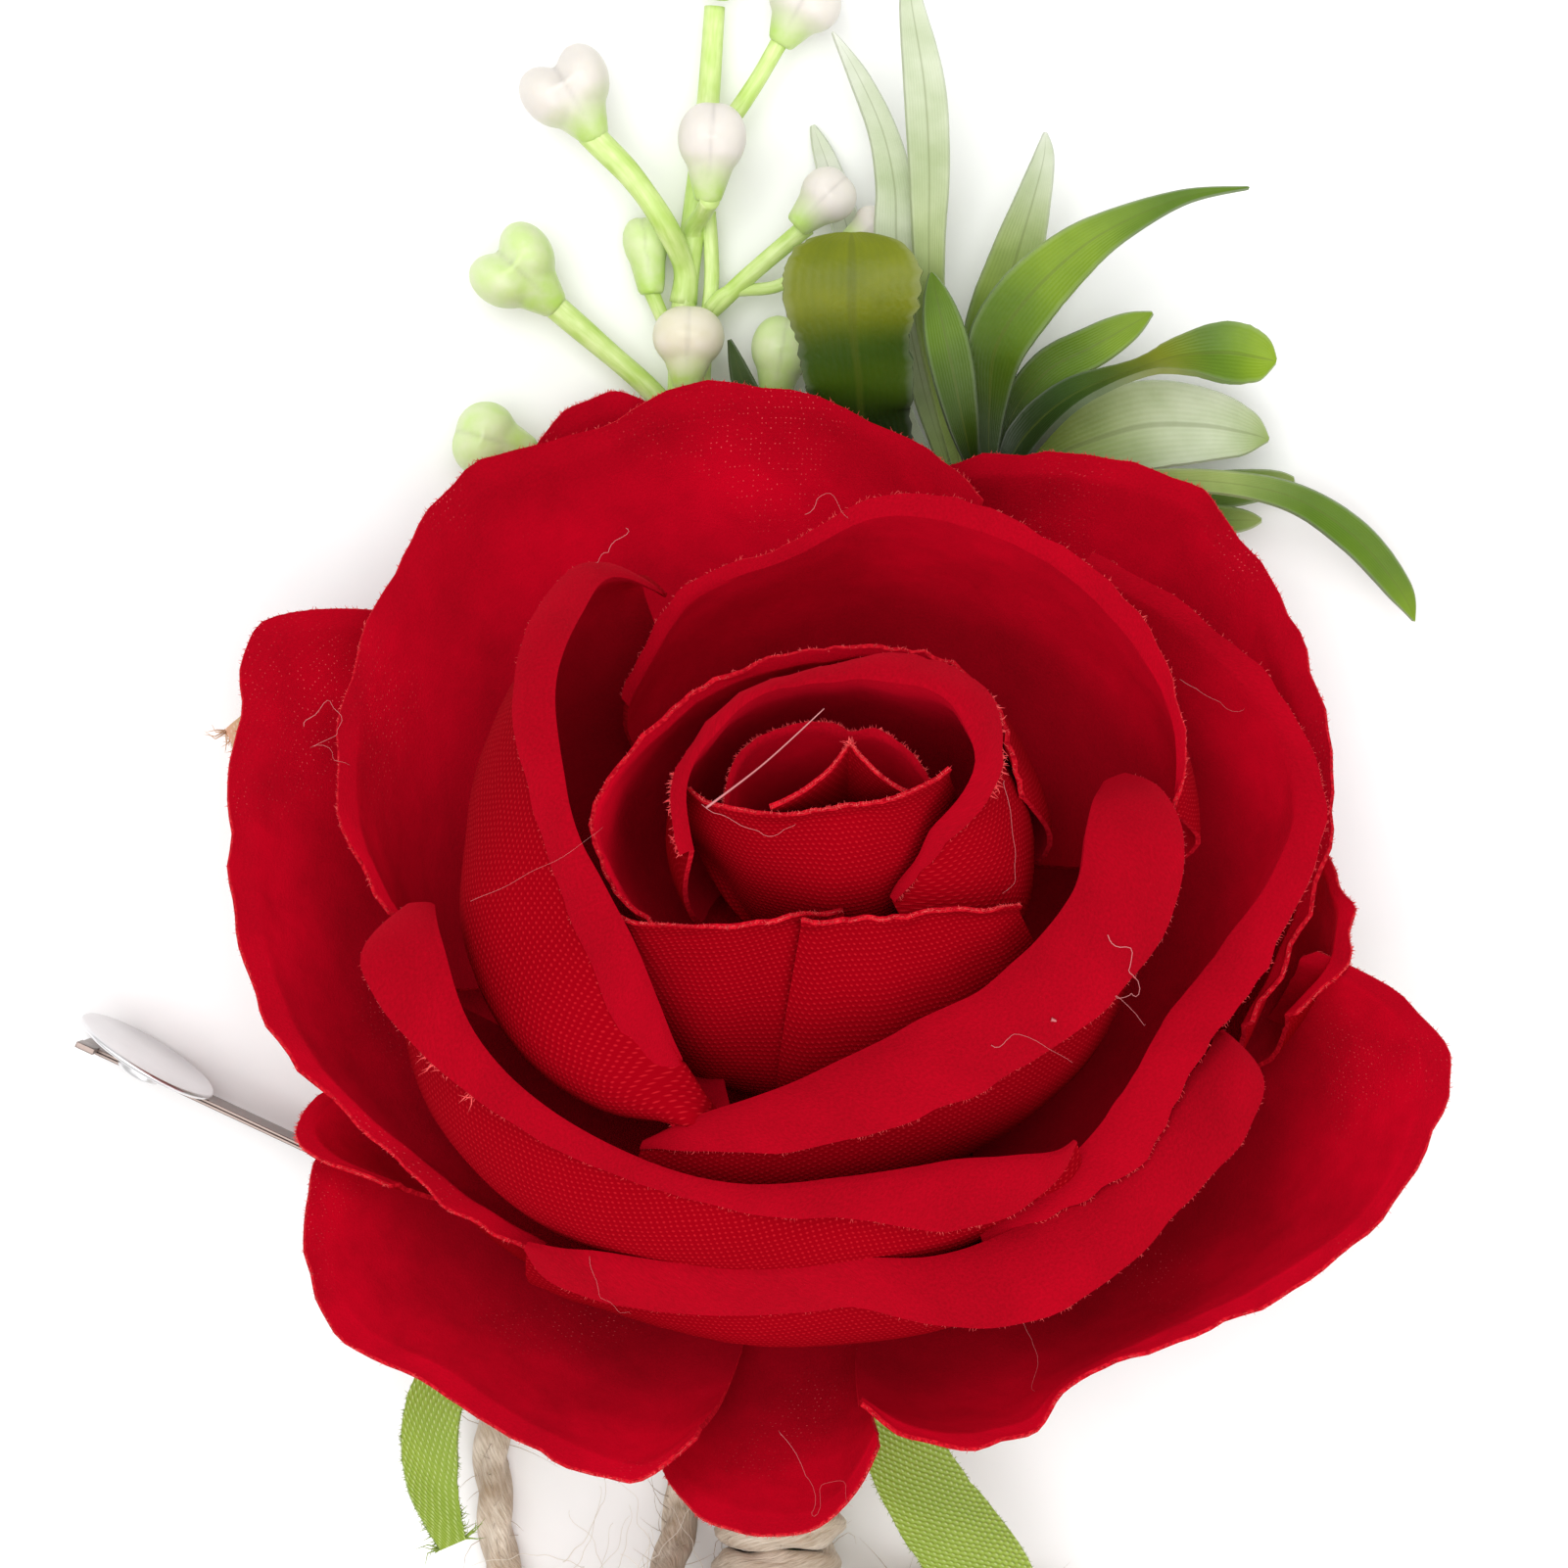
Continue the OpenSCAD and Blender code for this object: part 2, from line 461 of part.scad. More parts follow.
// A round tube along a route, one ring at each of its points
module tube(route, radius_at, sides = 8) {
    n = len(route);
    last = n - 1;
    ways = [for (i = [0 : last]) unit(route[min(i + 1, last)] - route[max(i - 1, 0)])];
    points = [for (i = [0 : last])
        let (side = unit(cross(ways[i], [0.1, 0.1, 1])), rise = cross(side, ways[i]))
        for (k = [0 : sides - 1])
            route[i] + radius_at[i] * (side * cos(360 * k / sides) + rise * sin(360 * k / sides))];
    walls = [for (i = [0 : last - 1]) for (k = [0 : sides - 1])
        let (a = i * sides + k, b = i * sides + (k + 1) % sides)
        each [[a, b, b + sides], [a, b + sides, a + sides]]];
    polyhedron(points, concat(walls, [[for (k = [sides - 1 : -1 : 0]) k]],
        [[for (k = [0 : sides - 1]) last * sides + k]]));
}

module cord(route) {
    color("tan") tube(route, [for (q = route) twine_d / 2]);
}

module bow_knot() {
    end_r = knot_r * 0.8;
    color("tan") translate(knot_at) rotate([0, 90, 0]) rotate_extrude($fn = round_n) polygon([
        [0, -knot_l / 2], [end_r, -knot_l / 2], [knot_r, -knot_l / 3], [knot_r, knot_l / 3],
        [end_r, knot_l / 2], [0, knot_l / 2]]);
}

// The clip: bar on edge, its turned-up end, and the round pad on a rivet, all one solid
module pin_clip() {
    bar_t = 2 * blade_t + blade_gap;
    pad_at = 0.885 * clip_l;
    lift = 0.4;
    color("silver") translate([-7.7, -20.9, lift]) rotate([0, 0, clip_turn]) union() {
        translate([0, -bar_t / 2, 0]) cube([clip_l, bar_t, clip_w]);
        translate([clip_l - 1.6, -bar_t / 2, clip_w - 0.5]) cube([1.6, bar_t * 0.6, 3.6]);
        translate([pad_at, 0, clip_w - 0.2]) rotate([90 - pad_lean, 0, 0]) union() {
            translate([0, 0, 0.9]) cylinder(d = pad_d, h = pad_t, $fn = 48);
            cylinder(d = 3, h = 1, $fn = 24);
        }
    }
}

// Branches of the bud sprig. Columns: route in millimetres from the surface behind the
// rose's foot, and thickness along it as a share of sprig_d.
BRANCHES = [
    [[[-5.4, -22.0, 1.5], [-7.0, -12, 1.5], [-9.2, 5, 1.5], [-10, 22, 1.4], [-10.2, 38, 1.3],
        [-10, 48.5, 1.4], [-9.2, 55.5, 1.7], [-8.4, 62, 1.9], [-7.9, 69, 2.0]],
        [1, 1, 1, 0.95, 0.85, 0.85, 0.75, 0.7, 0.6]],
    [[[-9.9, 51.6, 2.0], [-11.2, 54.4, 4.2], [-13.3, 57.4, 4.5], [-15.4, 59.6, 4.2]],
        [0.6, 0.66, 0.65, 0.7]],
    [[[-10.2, 41, 1.6], [-12.1, 43.5, 2.0], [-15.4, 46.4, 2.6], [-18.0, 48.6, 3.2]],
        [0.6, 0.6, 0.6, 0.65]],
    [[[-9.8, 47.3, 1.8], [-7.9, 49, 2.2], [-5.6, 51.1, 2.8], [-2.6, 53.6, 3.4]],
        [0.5, 0.5, 0.5, 0.5]],
    [[[-8.7, 59.6, 2.0], [-6.9, 61.4, 2.4], [-5.2, 63.8, 2.8], [-3.9, 66.0, 3.0]],
        [0.5, 0.5, 0.48, 0.45]],
    [[[-9.3, 54.6, 2.4], [-8.7, 55.0, 4.0], [-8.4, 55.4, 5.2]], [0.5, 0.5, 0.5]],
    [[[-10.2, 42.0, 1.8], [-10, 42.2, 3.2], [-9.8, 43.0, 4.6]], [0.4, 0.4, 0.4]],
    [[[-10.1, 45.6, 1.4], [-11.2, 48.0, 1.6], [-11.9, 49.6, 1.7]], [0.4, 0.4, 0.4]],
    [[[-10.1, 39.5, 1.6], [-13.4, 38.6, 1.6], [-17.0, 38.6, 1.9], [-19.6, 39.2, 2.4]],
        [0.4, 0.4, 0.4, 0.4]],
    [[[-10.1, 37.5, 1.6], [-7.4, 38.6, 1.5], [-5.2, 40.6, 1.8], [-4.2, 42.3, 2.3]],
        [0.4, 0.4, 0.4, 0.4]],
    [[[-7.0, 50.0, 2.6], [-3.8, 50.4, 2.4], [-1.0, 52.0, 2.6], [0.7, 53.0, 2.8]],
        [0.35, 0.35, 0.35, 0.35]],
];

module berry_stem() {
    color("yellowgreen") union() {
        for (b = BRANCHES) tube([for (q = b[0]) placed(q)], [for (w = b[1]) w * sprig_d / 2], 6);
    }
}

// Buds. Columns: name, foot in millimetres, turn and rise of the axis in degrees,
// length and width as shares of bud_l.
BUDS = [
    ["bud_heart_top", [-15.7, 60.1, 4.2], 121, 0, 1.00, 0.94],
    ["bud_heart_left", [-18.4, 49.0, 3.4], 137, 4, 0.98, 0.92],
    ["bud_front", [-8.3, 55.9, 5.6], 86, 8, 1.05, 0.76],
    ["bud_cream", [-9.7, 43.6, 5.1], 88, 4, 0.88, 0.80],
    ["bud_behind", [-12.1, 50.1, 1.75], 97, 0, 0.84, 0.50],
    ["bud_pair_left", [-2.4, 54.3, 4.1], 44, 4, 0.76, 0.64],
    ["bud_pair_right", [1.1, 53.3, 3.0], 32, 2, 0.50, 0.52],
    ["bud_green", [-4.0, 42.8, 2.7], 80, 6, 0.94, 0.70],
    ["bud_top", [-7.7, 69.5, 2.4], 84, 4, 0.50, 0.50],
    ["bud_upper_right", [-3.5, 66.5, 3.2], 60, 4, 0.86, 0.84],
    ["bud_low_left", [-20.0, 39.4, 2.9], 165, 4, 0.88, 0.84],
];

// A bud: a drop shape, broad near its tip
module bud(b) {
    long = b[4] * bud_l * spread;
    wide = b[5] * bud_l * spread / 2;
    color("honeydew") translate(placed(b[1])) rotate([0, 90 - b[3], b[2]]) rotate_extrude($fn = 24)
        polygon([[0, 0], [wide * 0.35, 0.02 * long], [wide * 0.72, 0.2 * long], [wide * 0.97, 0.45 * long],
            [wide, 0.62 * long], [wide * 0.86, 0.82 * long], [wide * 0.5, 0.95 * long], [0, long]]);
}

// Leaf sprig: the root that the leaves spring from, and the stem that carries it
hub = [9 * spread, 36.5 * spread];
hub_r = 1.5;
hub_h = 7;

module leaf_stem() {
    color("olivedrab") union() {
        tube(concat([for (q = [[-2.3, -22.0, 1.3], [-1.4, -14, 1.3], [1.2, -3, 1.3], [5.0, 10, 1.3],
            [8.0, 24, 1.4]]) placed(q)], [[hub[0], hub[1], 1.4]]), [1.1, 1.1, 1.1, 1.1, 1.1, 1.1], 6);
        translate([hub[0], hub[1], 0.3]) cylinder(r = hub_r, h = hub_h, $fn = 12);
    }
}

// Leaves. Columns: name, then rows of side, along and up from the hub (shares of
// leaf_reach), half width (share of leaf_w) and roll in degrees.
LEAVES = [
    ["leaf_curled", [[-0.058, 0.01, 0.15, 0.07, 0], [-0.16, 0.06, 0.155, 0.18, 0],
        [-0.215, 0.14, 0.20, 0.30, 0], [-0.225, 0.22, 0.27, 0.37, 0], [-0.235, 0.33, 0.34, 0.47, 0],
        [-0.24, 0.42, 0.365, 0.44, 0], [-0.24, 0.475, 0.34, 0.32, 0], [-0.24, 0.50, 0.32, 0.14, 0]]],
    ["leaf_narrow", [[0.0, 0.06, 0.205, 0.05, 0], [-0.02, 0.14, 0.265, 0.11, 0],
        [-0.045, 0.26, 0.29, 0.15, 0], [-0.065, 0.35, 0.29, 0.12, 0], [-0.082, 0.43, 0.28, 0.03, 0]]],
    ["leaf_tall", [[-0.02, 0.055, 0.12, 0.06, 0], [-0.05, 0.18, 0.14, 0.08, 0],
        [-0.08, 0.34, 0.17, 0.10, 0], [-0.085, 0.49, 0.20, 0.11, 0], [-0.085, 0.65, 0.22, 0.14, 0],
        [-0.095, 0.81, 0.23, 0.14, 0], [-0.12, 0.97, 0.22, 0.08, 0], [-0.125, 1.03, 0.21, 0.03, 0]]],
    ["leaf_thin", [[-0.04, 0.042, 0.085, 0.05, 0], [-0.09, 0.20, 0.10, 0.08, 0],
        [-0.13, 0.38, 0.135, 0.12, 0], [-0.148, 0.50, 0.16, 0.15, 0], [-0.152, 0.61, 0.16, 0.13, 0],
        [-0.175, 0.72, 0.155, 0.10, 0], [-0.222, 0.83, 0.145, 0.07, 0], [-0.275, 0.925, 0.13, 0.02, 0]]],
    ["leaf_far", [[-0.055, 0.015, 0.04, 0.04, 0], [-0.14, 0.18, 0.03, 0.08, 0],
        [-0.21, 0.40, 0.028, 0.11, 0], [-0.25, 0.56, 0.028, 0.10, 0], [-0.285, 0.67, 0.028, 0.08, 0],
        [-0.315, 0.75, 0.028, 0.03, 0]]],
    ["leaf_upright", [[0.025, 0.052, 0.07, 0.05, 0], [0.03, 0.16, 0.08, 0.12, 0],
        [0.045, 0.32, 0.11, 0.20, 0], [0.09, 0.47, 0.14, 0.18, 0], [0.125, 0.59, 0.16, 0.12, 0],
        [0.145, 0.67, 0.17, 0.07, 0], [0.148, 0.72, 0.17, 0.02, 0]]],
    ["leaf_arched", [[0.035, 0.05, 0.18, 0.05, 0], [0.035, 0.17, 0.205, 0.12, 0],
        [0.045, 0.28, 0.26, 0.20, 0], [0.10, 0.37, 0.30, 0.22, 0], [0.19, 0.458, 0.33, 0.18, 0],
        [0.28, 0.517, 0.34, 0.12, 0], [0.415, 0.575, 0.33, 0.05, 0], [0.542, 0.595, 0.31, 0.015, 0]]],
    ["leaf_low_arch", [[0.05, 0.04, 0.13, 0.05, 0], [0.085, 0.16, 0.135, 0.10, 0],
        [0.152, 0.244, 0.17, 0.14, 0], [0.24, 0.29, 0.20, 0.14, 0], [0.308, 0.328, 0.21, 0.10, 0],
        [0.359, 0.357, 0.21, 0.02, 0]]],
    ["leaf_twisted", [[0.058, 0.028, 0.158, 0.05, 0], [0.11, 0.115, 0.185, 0.14, 30],
        [0.20, 0.19, 0.24, 0.16, 50], [0.328, 0.24, 0.27, 0.10, 55], [0.41, 0.265, 0.28, 0.15, 30],
        [0.50, 0.272, 0.28, 0.22, 10], [0.57, 0.262, 0.27, 0.16, 0], [0.60, 0.256, 0.265, 0.04, 0]]],
    ["leaf_broad", [[0.058, 0.015, 0.10, 0.05, 0], [0.15, 0.07, 0.09, 0.16, 0],
        [0.23, 0.105, 0.10, 0.26, 0], [0.347, 0.138, 0.12, 0.31, 0], [0.464, 0.138, 0.13, 0.26, 0],
        [0.552, 0.123, 0.13, 0.16, 0], [0.597, 0.11, 0.125, 0.03, 0]]],
    ["leaf_drooping", [[0.062, -0.005, 0.17, 0.05, 0], [0.18, 0.0, 0.185, 0.07, 0],
        [0.32, 0.02, 0.20, 0.08, 0], [0.484, 0.021, 0.21, 0.08, 0], [0.64, -0.01, 0.20, 0.10, 0],
        [0.766, -0.088, 0.17, 0.12, 0], [0.858, -0.19, 0.13, 0.09, 0], [0.89, -0.252, 0.11, 0.02, 0]]],
    ["leaf_back_upper", [[0.062, -0.01, 0.05, 0.04, 0], [0.30, 0.0, 0.04, 0.08, 0],
        [0.48, 0.012, 0.045, 0.13, 0], [0.60, 0.025, 0.05, 0.10, 0], [0.655, 0.035, 0.05, 0.03, 0]]],
    ["leaf_back_lower", [[0.06, -0.03, 0.09, 0.04, 0], [0.30, -0.045, 0.09, 0.08, 0],
        [0.46, -0.05, 0.10, 0.11, 0], [0.54, -0.05, 0.10, 0.08, 0], [0.585, -0.05, 0.10, 0.02, 0]]],
    ["leaf_dark", [[-0.058, -0.02, 0.11, 0.04, 0], [-0.20, -0.02, 0.09, 0.06, 0],
        [-0.36, 0.06, 0.095, 0.07, 0], [-0.44, 0.19, 0.115, 0.09, 0], [-0.482, 0.31, 0.125, 0.02, 0]]],
];

module leaf(p) {
    rows = p[1];
    last = len(rows) - 1;
    reach = leaf_reach * spread;
    places = [for (q = rows) [hub[0] + q[0] * reach, hub[1] + q[1] * reach, q[2] * leaf_reach]];
    side = [for (i = [0 : last])
        let (way = places[min(i + 1, last)] - places[max(i - 1, 0)])
        let (flat = unit([way[1], -way[0], 0]), rise = unit(cross(flat, way)))
        flat * cos(rows[i][4]) + rise * sin(rows[i][4])];
    color("olivedrab") skin(sheet_rings(strip_grid(places, side, [for (q = rows) q[3] * leaf_w * spread]), leaf_t));
}

for (p = PETALS) petal(p);
rose_core();
calyx();
stem();
twine_wrap();
bow_knot();
cord(LOOP_LEFT);  // bow_loop_left
cord(LOOP_RIGHT);  // bow_loop_right
cord(TAIL_LEFT);  // bow_tail_left
cord(TAIL_RIGHT);  // bow_tail_right
pin_clip();
berry_stem();
leaf_stem();
for (b = BUDS) bud(b);
for (p = LEAVES) leaf(p);
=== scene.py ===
import math
import random
import bpy
from mathutils import Matrix, Vector, noise


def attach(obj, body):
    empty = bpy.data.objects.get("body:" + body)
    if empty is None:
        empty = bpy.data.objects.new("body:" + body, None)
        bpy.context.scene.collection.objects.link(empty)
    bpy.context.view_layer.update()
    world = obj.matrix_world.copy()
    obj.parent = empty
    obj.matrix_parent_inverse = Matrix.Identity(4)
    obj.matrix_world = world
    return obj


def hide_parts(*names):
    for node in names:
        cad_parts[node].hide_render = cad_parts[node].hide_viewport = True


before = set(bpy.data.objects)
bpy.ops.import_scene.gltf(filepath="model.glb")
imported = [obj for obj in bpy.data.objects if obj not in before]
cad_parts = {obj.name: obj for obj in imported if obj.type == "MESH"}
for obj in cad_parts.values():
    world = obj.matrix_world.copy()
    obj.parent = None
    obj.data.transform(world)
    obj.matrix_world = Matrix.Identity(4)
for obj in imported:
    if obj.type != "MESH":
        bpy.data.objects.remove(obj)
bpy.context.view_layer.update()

# ---- View ----
# The pin lies on its back and is looked at from straight above, 380 mm over the surface,
# with the sprigs at the top of the picture.

view_lens = bpy.data.cameras.new("view")
view_lens.sensor_width = 36
view_lens.lens = 130.73
view_lens.clip_start = 0.01
view = bpy.data.objects.new("view", view_lens)
view.location = (-0.0033, 0.0174, 0.380)
bpy.context.scene.collection.objects.link(view)
bpy.context.scene.camera = view
bpy.context.scene.view_settings.view_transform = "Standard"

# ---- Twine bow: loops and tails ----
# A length of three-ply jute twine, 2.6 mm thick, tied in a bow over the bound stems.
# Its two loops and two tails come out of the knot and lie limp on the surface.

twine_d, twine_girth, ply_turn = 0.0026, 0.0082, 0.007
knot_at = Vector((-0.0057, -0.0384, 0.01165))

loop_left_route = [
    (-9.2, -39.8, 11.6), (-10.6, -39.8, 11.4), (-12.2, -40.1, 10.2), (-14.4, -40.4, 7.4),
    (-16.8, -40.2, 4.6), (-19.6, -38.8, 2.4), (-21.6, -36.2, 1.6), (-22.3, -33.0, 1.4),
    (-22.6, -29.6, 1.4), (-22.7, -26.2, 1.4), (-22.0, -23.0, 1.4), (-19.6, -20.8, 1.4),
    (-16.4, -20.2, 1.4), (-13.2, -20.9, 1.4), (-10.6, -22.8, 1.4), (-9.6, -25.6, 1.4),
    (-9.8, -28.4, 1.4), (-10.1, -31.0, 1.8), (-10.6, -33.2, 3.4), (-11.0, -34.8, 6.2),
    (-11.1, -36.2, 9.2), (-10.6, -37.0, 10.8), (-9.2, -37.0, 11.3)]
loop_right_route = [
    (-2.3, -37.0, 11.2), (-0.9, -37.0, 10.9), (0.7, -36.9, 9.6), (2.0, -36.8, 7.2),
    (3.4, -36.6, 4.6), (5.6, -36.4, 2.4), (8.6, -36.4, 1.5), (11.8, -36.8, 1.4),
    (15.0, -37.6, 1.4), (18.2, -39.0, 1.4), (20.4, -41.6, 1.4), (20.2, -44.8, 1.4),
    (17.6, -46.8, 1.4), (14.4, -46.4, 1.4), (11.4, -44.8, 1.4), (8.6, -43.0, 1.6),
    (6.2, -41.6, 2.8), (4.2, -40.8, 5.2), (2.4, -40.3, 7.8), (0.8, -39.9, 10.0),
    (-0.8, -39.8, 11.3), (-2.3, -39.8, 11.6)]
tail_left_route = [
    (-7.3, -41.5, 11.2), (-7.8, -43.0, 11.0), (-9.2, -44.4, 10.2), (-11.2, -45.4, 8.2),
    (-12.8, -46.2, 5.6), (-14.2, -47.2, 3.2), (-15.8, -48.8, 1.8), (-17.0, -51.2, 1.4),
    (-17.6, -54.2, 1.4), (-17.2, -57.2, 1.4), (-17.4, -60.2, 1.4), (-18.8, -62.8, 1.4),
    (-20.8, -65.0, 1.4)]
tail_right_route = [
    (-4.1, -41.5, 11.2), (-3.6, -43.0, 11.0), (-2.2, -44.6, 10.2), (-0.2, -45.8, 8.2),
    (1.4, -46.8, 5.6), (2.8, -48.0, 3.2), (4.2, -49.8, 1.8), (5.2, -52.4, 1.4),
    (5.2, -55.4, 1.4), (4.6, -58.4, 1.4), (4.8, -61.4, 1.4), (6.2, -64.0, 1.4),
    (8.2, -66.0, 1.4)]


def smooth_at(rows, s):
    """The value between the rows of a table at place s, on a smooth curve through them."""
    i = max(0, min(int(math.floor(s)), len(rows) - 2))
    f = s - i
    a, b, c, d = rows[max(i - 1, 0)], rows[i], rows[i + 1], rows[min(i + 2, len(rows) - 1)]
    return [0.5 * (2 * q + (r - p) * f + (2 * p - 5 * q + 4 * r - t) * f * f
                   + (3 * q - p - 3 * r + t) * f ** 3) for p, q, r, t in zip(a, b, c, d)]


def even_route(points, step):
    """Points in metres, a step apart, on a smooth curve through a route in millimetres."""
    fine = [Vector(smooth_at(points, k / 16)) * 0.001 for k in range(16 * (len(points) - 1) + 1)]
    reach = [0.0]
    for a, b in zip(fine, fine[1:]):
        reach.append(reach[-1] + (b - a).length)
    count, j, route = max(2, round(reach[-1] / step)), 0, []
    for k in range(count + 1):
        at = reach[-1] * k / count
        while j < len(fine) - 2 and reach[j + 1] < at:
            j += 1
        route.append(fine[j].lerp(fine[j + 1], (at - reach[j]) / max(reach[j + 1] - reach[j], 1e-12)))
    return route


def tube(route, radius, sides):
    """Rings of points along a route, and the distance along it. radius(share along, turn)."""
    last, rings, along = len(route) - 1, [], [0.0]
    side = None
    for i, q in enumerate(route):
        way = (route[min(i + 1, last)] - route[max(i - 1, 0)]).normalized()
        if side is None:
            side = way.cross(Vector((0.1, 0.1, 1))).normalized()
        side = (side - way * side.dot(way)).normalized()
        rise = way.cross(side)
        turns = [2 * math.pi * k / sides for k in range(sides)]
        rings.append([q + (side * math.cos(t) + rise * math.sin(t)) * radius(i / last, t) for t in turns])
        if i:
            along.append(along[-1] + (q - route[i - 1]).length)
    return rings, along


def tube_piece(name, tubes, girth, material):
    """One mesh of closed tubes, with a UV map in metres along and round them."""
    points, faces, lay = [], [], []
    for rings, along in tubes:
        first, n = len(points), len(rings[0])
        for ring in rings:
            points.extend(ring)
        for i in range(len(rings) - 1):
            for k in range(n):
                a, b = first + i * n + k, first + i * n + (k + 1) % n
                faces.append((a, b, b + n, a + n))
                u, w, v, x = along[i], along[i + 1], girth * k / n, girth * (k + 1) / n
                lay.extend([(u, v), (u, x), (w, x), (w, v)])
        faces.append(tuple(first + k for k in reversed(range(n))))
        faces.append(tuple(first + (len(rings) - 1) * n + k for k in range(n)))
        lay.extend([(along[0], 0)] * n + [(along[-1], 0)] * n)
    mesh = bpy.data.meshes.new(name)
    mesh.from_pydata([tuple(p) for p in points], [], faces)
    for loop, place in zip(mesh.uv_layers.new(name="lay").data, lay):
        loop.uv = place
    mesh.polygons.foreach_set("use_smooth", [True] * len(mesh.polygons))
    mesh.materials.append(material)
    piece = bpy.data.objects.new(name, mesh)
    bpy.context.scene.collection.objects.link(piece)
    return piece


def paint(red, green, blue):
    """A colour as it's seen, 0 to 255, as the shader wants it."""
    return tuple((c / 255 / 12.92) if c <= 10 else ((c / 255 + 0.055) / 1.055) ** 2.4
                 for c in (red, green, blue)) + (1.0,)


def feed(tree, node, **inputs):
    """Gives a node's inputs, by name or by n and their number, a value or another's output."""
    for key, value in inputs.items():
        socket = node.inputs[int(key[1:]) if key[1:].isdigit() else key.replace("_", " ")]
        if isinstance(value, bpy.types.NodeSocket):
            tree.links.new(value, socket)
        else:
            socket.default_value = value


def put(tree, kind, settings=(), **inputs):
    """Adds a node and gives back its outputs."""
    node = tree.nodes.new(kind)
    for key, value in dict(settings).items():
        setattr(node, key, value)
    feed(tree, node, **inputs)
    return node.outputs


def clouds(tree, place, scale, detail=2.0, roughness=0.5):
    """Soft irregular patches over a place, from 0 to 1."""
    return put(tree, "ShaderNodeTexNoise", Vector=place, Scale=scale, Detail=detail, Roughness=roughness)[0]


def worked_out(tree, operation, first, second=0.5, clamp=False):
    """One sum on two values."""
    return put(tree, "ShaderNodeMath", {"operation": operation, "use_clamp": clamp}, n0=first, n1=second)[0]


def spread(tree, value, start, stop, low=0.0, high=1.0, smooth=False):
    """A value that runs from start to stop, made to run from low to high."""
    eased = {"interpolation_type": "SMOOTHSTEP"} if smooth else ()
    return put(tree, "ShaderNodeMapRange", eased, Value=value, n1=start, n2=stop, n3=low, n4=high)[0]


def between(tree, share, low, high, start=0.0, stop=1.0):
    """A colour that runs from one to another as a share runs from start to stop."""
    tone = put(tree, "ShaderNodeValToRGB", Fac=share)[0]
    first, last = tone.node.color_ramp.elements
    first.position, last.position = start, stop
    first.color, last.color = paint(*low), paint(*high)
    return tone


def relief(tree, height, strength, distance):
    """A surface's small ups and downs."""
    return put(tree, "ShaderNodeBump", Height=height, Strength=strength, Distance=distance)[0]


def finish_named(name):
    """An empty material, its node tree and its shader."""
    material = bpy.data.materials.new(name)
    material.use_nodes = True
    return material, material.node_tree, material.node_tree.nodes["Principled BSDF"]


def effect_named(name, given, out):
    """An empty node group, the outputs that bring its inputs in, and the node of its outputs."""
    group = bpy.data.node_groups.new(name, "ShaderNodeTree")
    for way, sockets in (("INPUT", given), ("OUTPUT", out)):
        for key, kind in sockets:
            group.interface.new_socket(name=key, in_out=way, socket_type="NodeSocket" + kind)
    return group, group.nodes.new("NodeGroupInput").outputs, group.nodes.new("NodeGroupOutput")


def effect(tree, group, **inputs):
    """Places a shared effect in a material, and gives back its outputs."""
    return put(tree, "ShaderNodeGroup", {"node_tree": group}, **inputs)


# Fibres: streaks that run along a twisted or drawn thing, as a shade and as a height
fibres, given, out = effect_named("fibres", [("Place", "Vector"), ("Fine", "Float")],
                                  [("Shade", "Float"), ("Height", "Float")])
stretched = put(fibres, "ShaderNodeVectorMath", {"operation": "MULTIPLY"}, n0=given["Place"], n1=(0.16, 1.0, 1.0))[0]
streaks = clouds(fibres, stretched, given["Fine"], 4.0, 0.6)
both = worked_out(fibres, "MULTIPLY", streaks, clouds(fibres, given["Place"], 420.0))
feed(fibres, out, Shade=spread(fibres, both, 0.12, 0.42), Height=streaks)


def fibrous(name, slant, fine, low, high, strength, distance, **look):
    """A finish of fine fibres that run along the piece at a slant in degrees."""
    material, tree, shader = finish_named(name)
    lay = put(tree, "ShaderNodeUVMap", {"uv_map": "lay"})[0]
    turned = put(tree, "ShaderNodeMapping", Vector=lay, Rotation=(0, 0, math.radians(slant)))[0]
    fibre = effect(tree, fibres, Place=turned, Fine=fine)
    feed(tree, shader, Base_Color=between(tree, fibre["Shade"], low, high),
         Normal=relief(tree, fibre["Height"], strength, distance), **look)
    return material


jute = fibrous("jute_twine", 24, 5200.0, (166, 142, 116), (236, 222, 204), 0.9, 0.00025,
               Roughness=0.9, Specular_IOR_Level=0.2, Sheen_Weight=0.25)


def three_ply(route):
    """A twine's ring radius: three plies twisted together."""
    reach = sum((b - a).length for a, b in zip(route, route[1:]))
    turns = 2 * math.pi * reach / ply_turn
    return lambda share, turn: twine_d / 2 * (
        0.88 + 0.12 * math.cos(3 * turn - turns * share * 3 / 2)
        + 0.02 * noise.noise(Vector((share * reach * 900, math.cos(turn) * 2, math.sin(turn) * 2))))


fuzz_roots = []


def twine_stretch(name, points, node):
    """One stretch of the bow's twine, as a free cord that goes back into the knot or ends bare."""
    route = even_route(points, 0.00035)
    rings, along = tube(route, three_ply(route), 24)
    piece = tube_piece(name, [(rings, along)], twine_girth, jute)
    fuzz_roots.extend((ring[k], q) for ring, q in zip(rings[2:-2:3], route[2:-2:3]) for k in range(0, 24, 5))
    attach(piece, "root")
    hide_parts(node)


twine_stretch("bow_loop_left_twine", loop_left_route, "bow_loop_left")
twine_stretch("bow_loop_right_twine", loop_right_route, "bow_loop_right")
twine_stretch("bow_tail_left_twine", tail_left_route, "bow_tail_left")
twine_stretch("bow_tail_right_twine", tail_right_route, "bow_tail_right")

# ---- Bow knot ----
# The bow's knot, pulled tight: the same twine lies three times round the crossing,
# across the stem and on top of the twine that binds it.

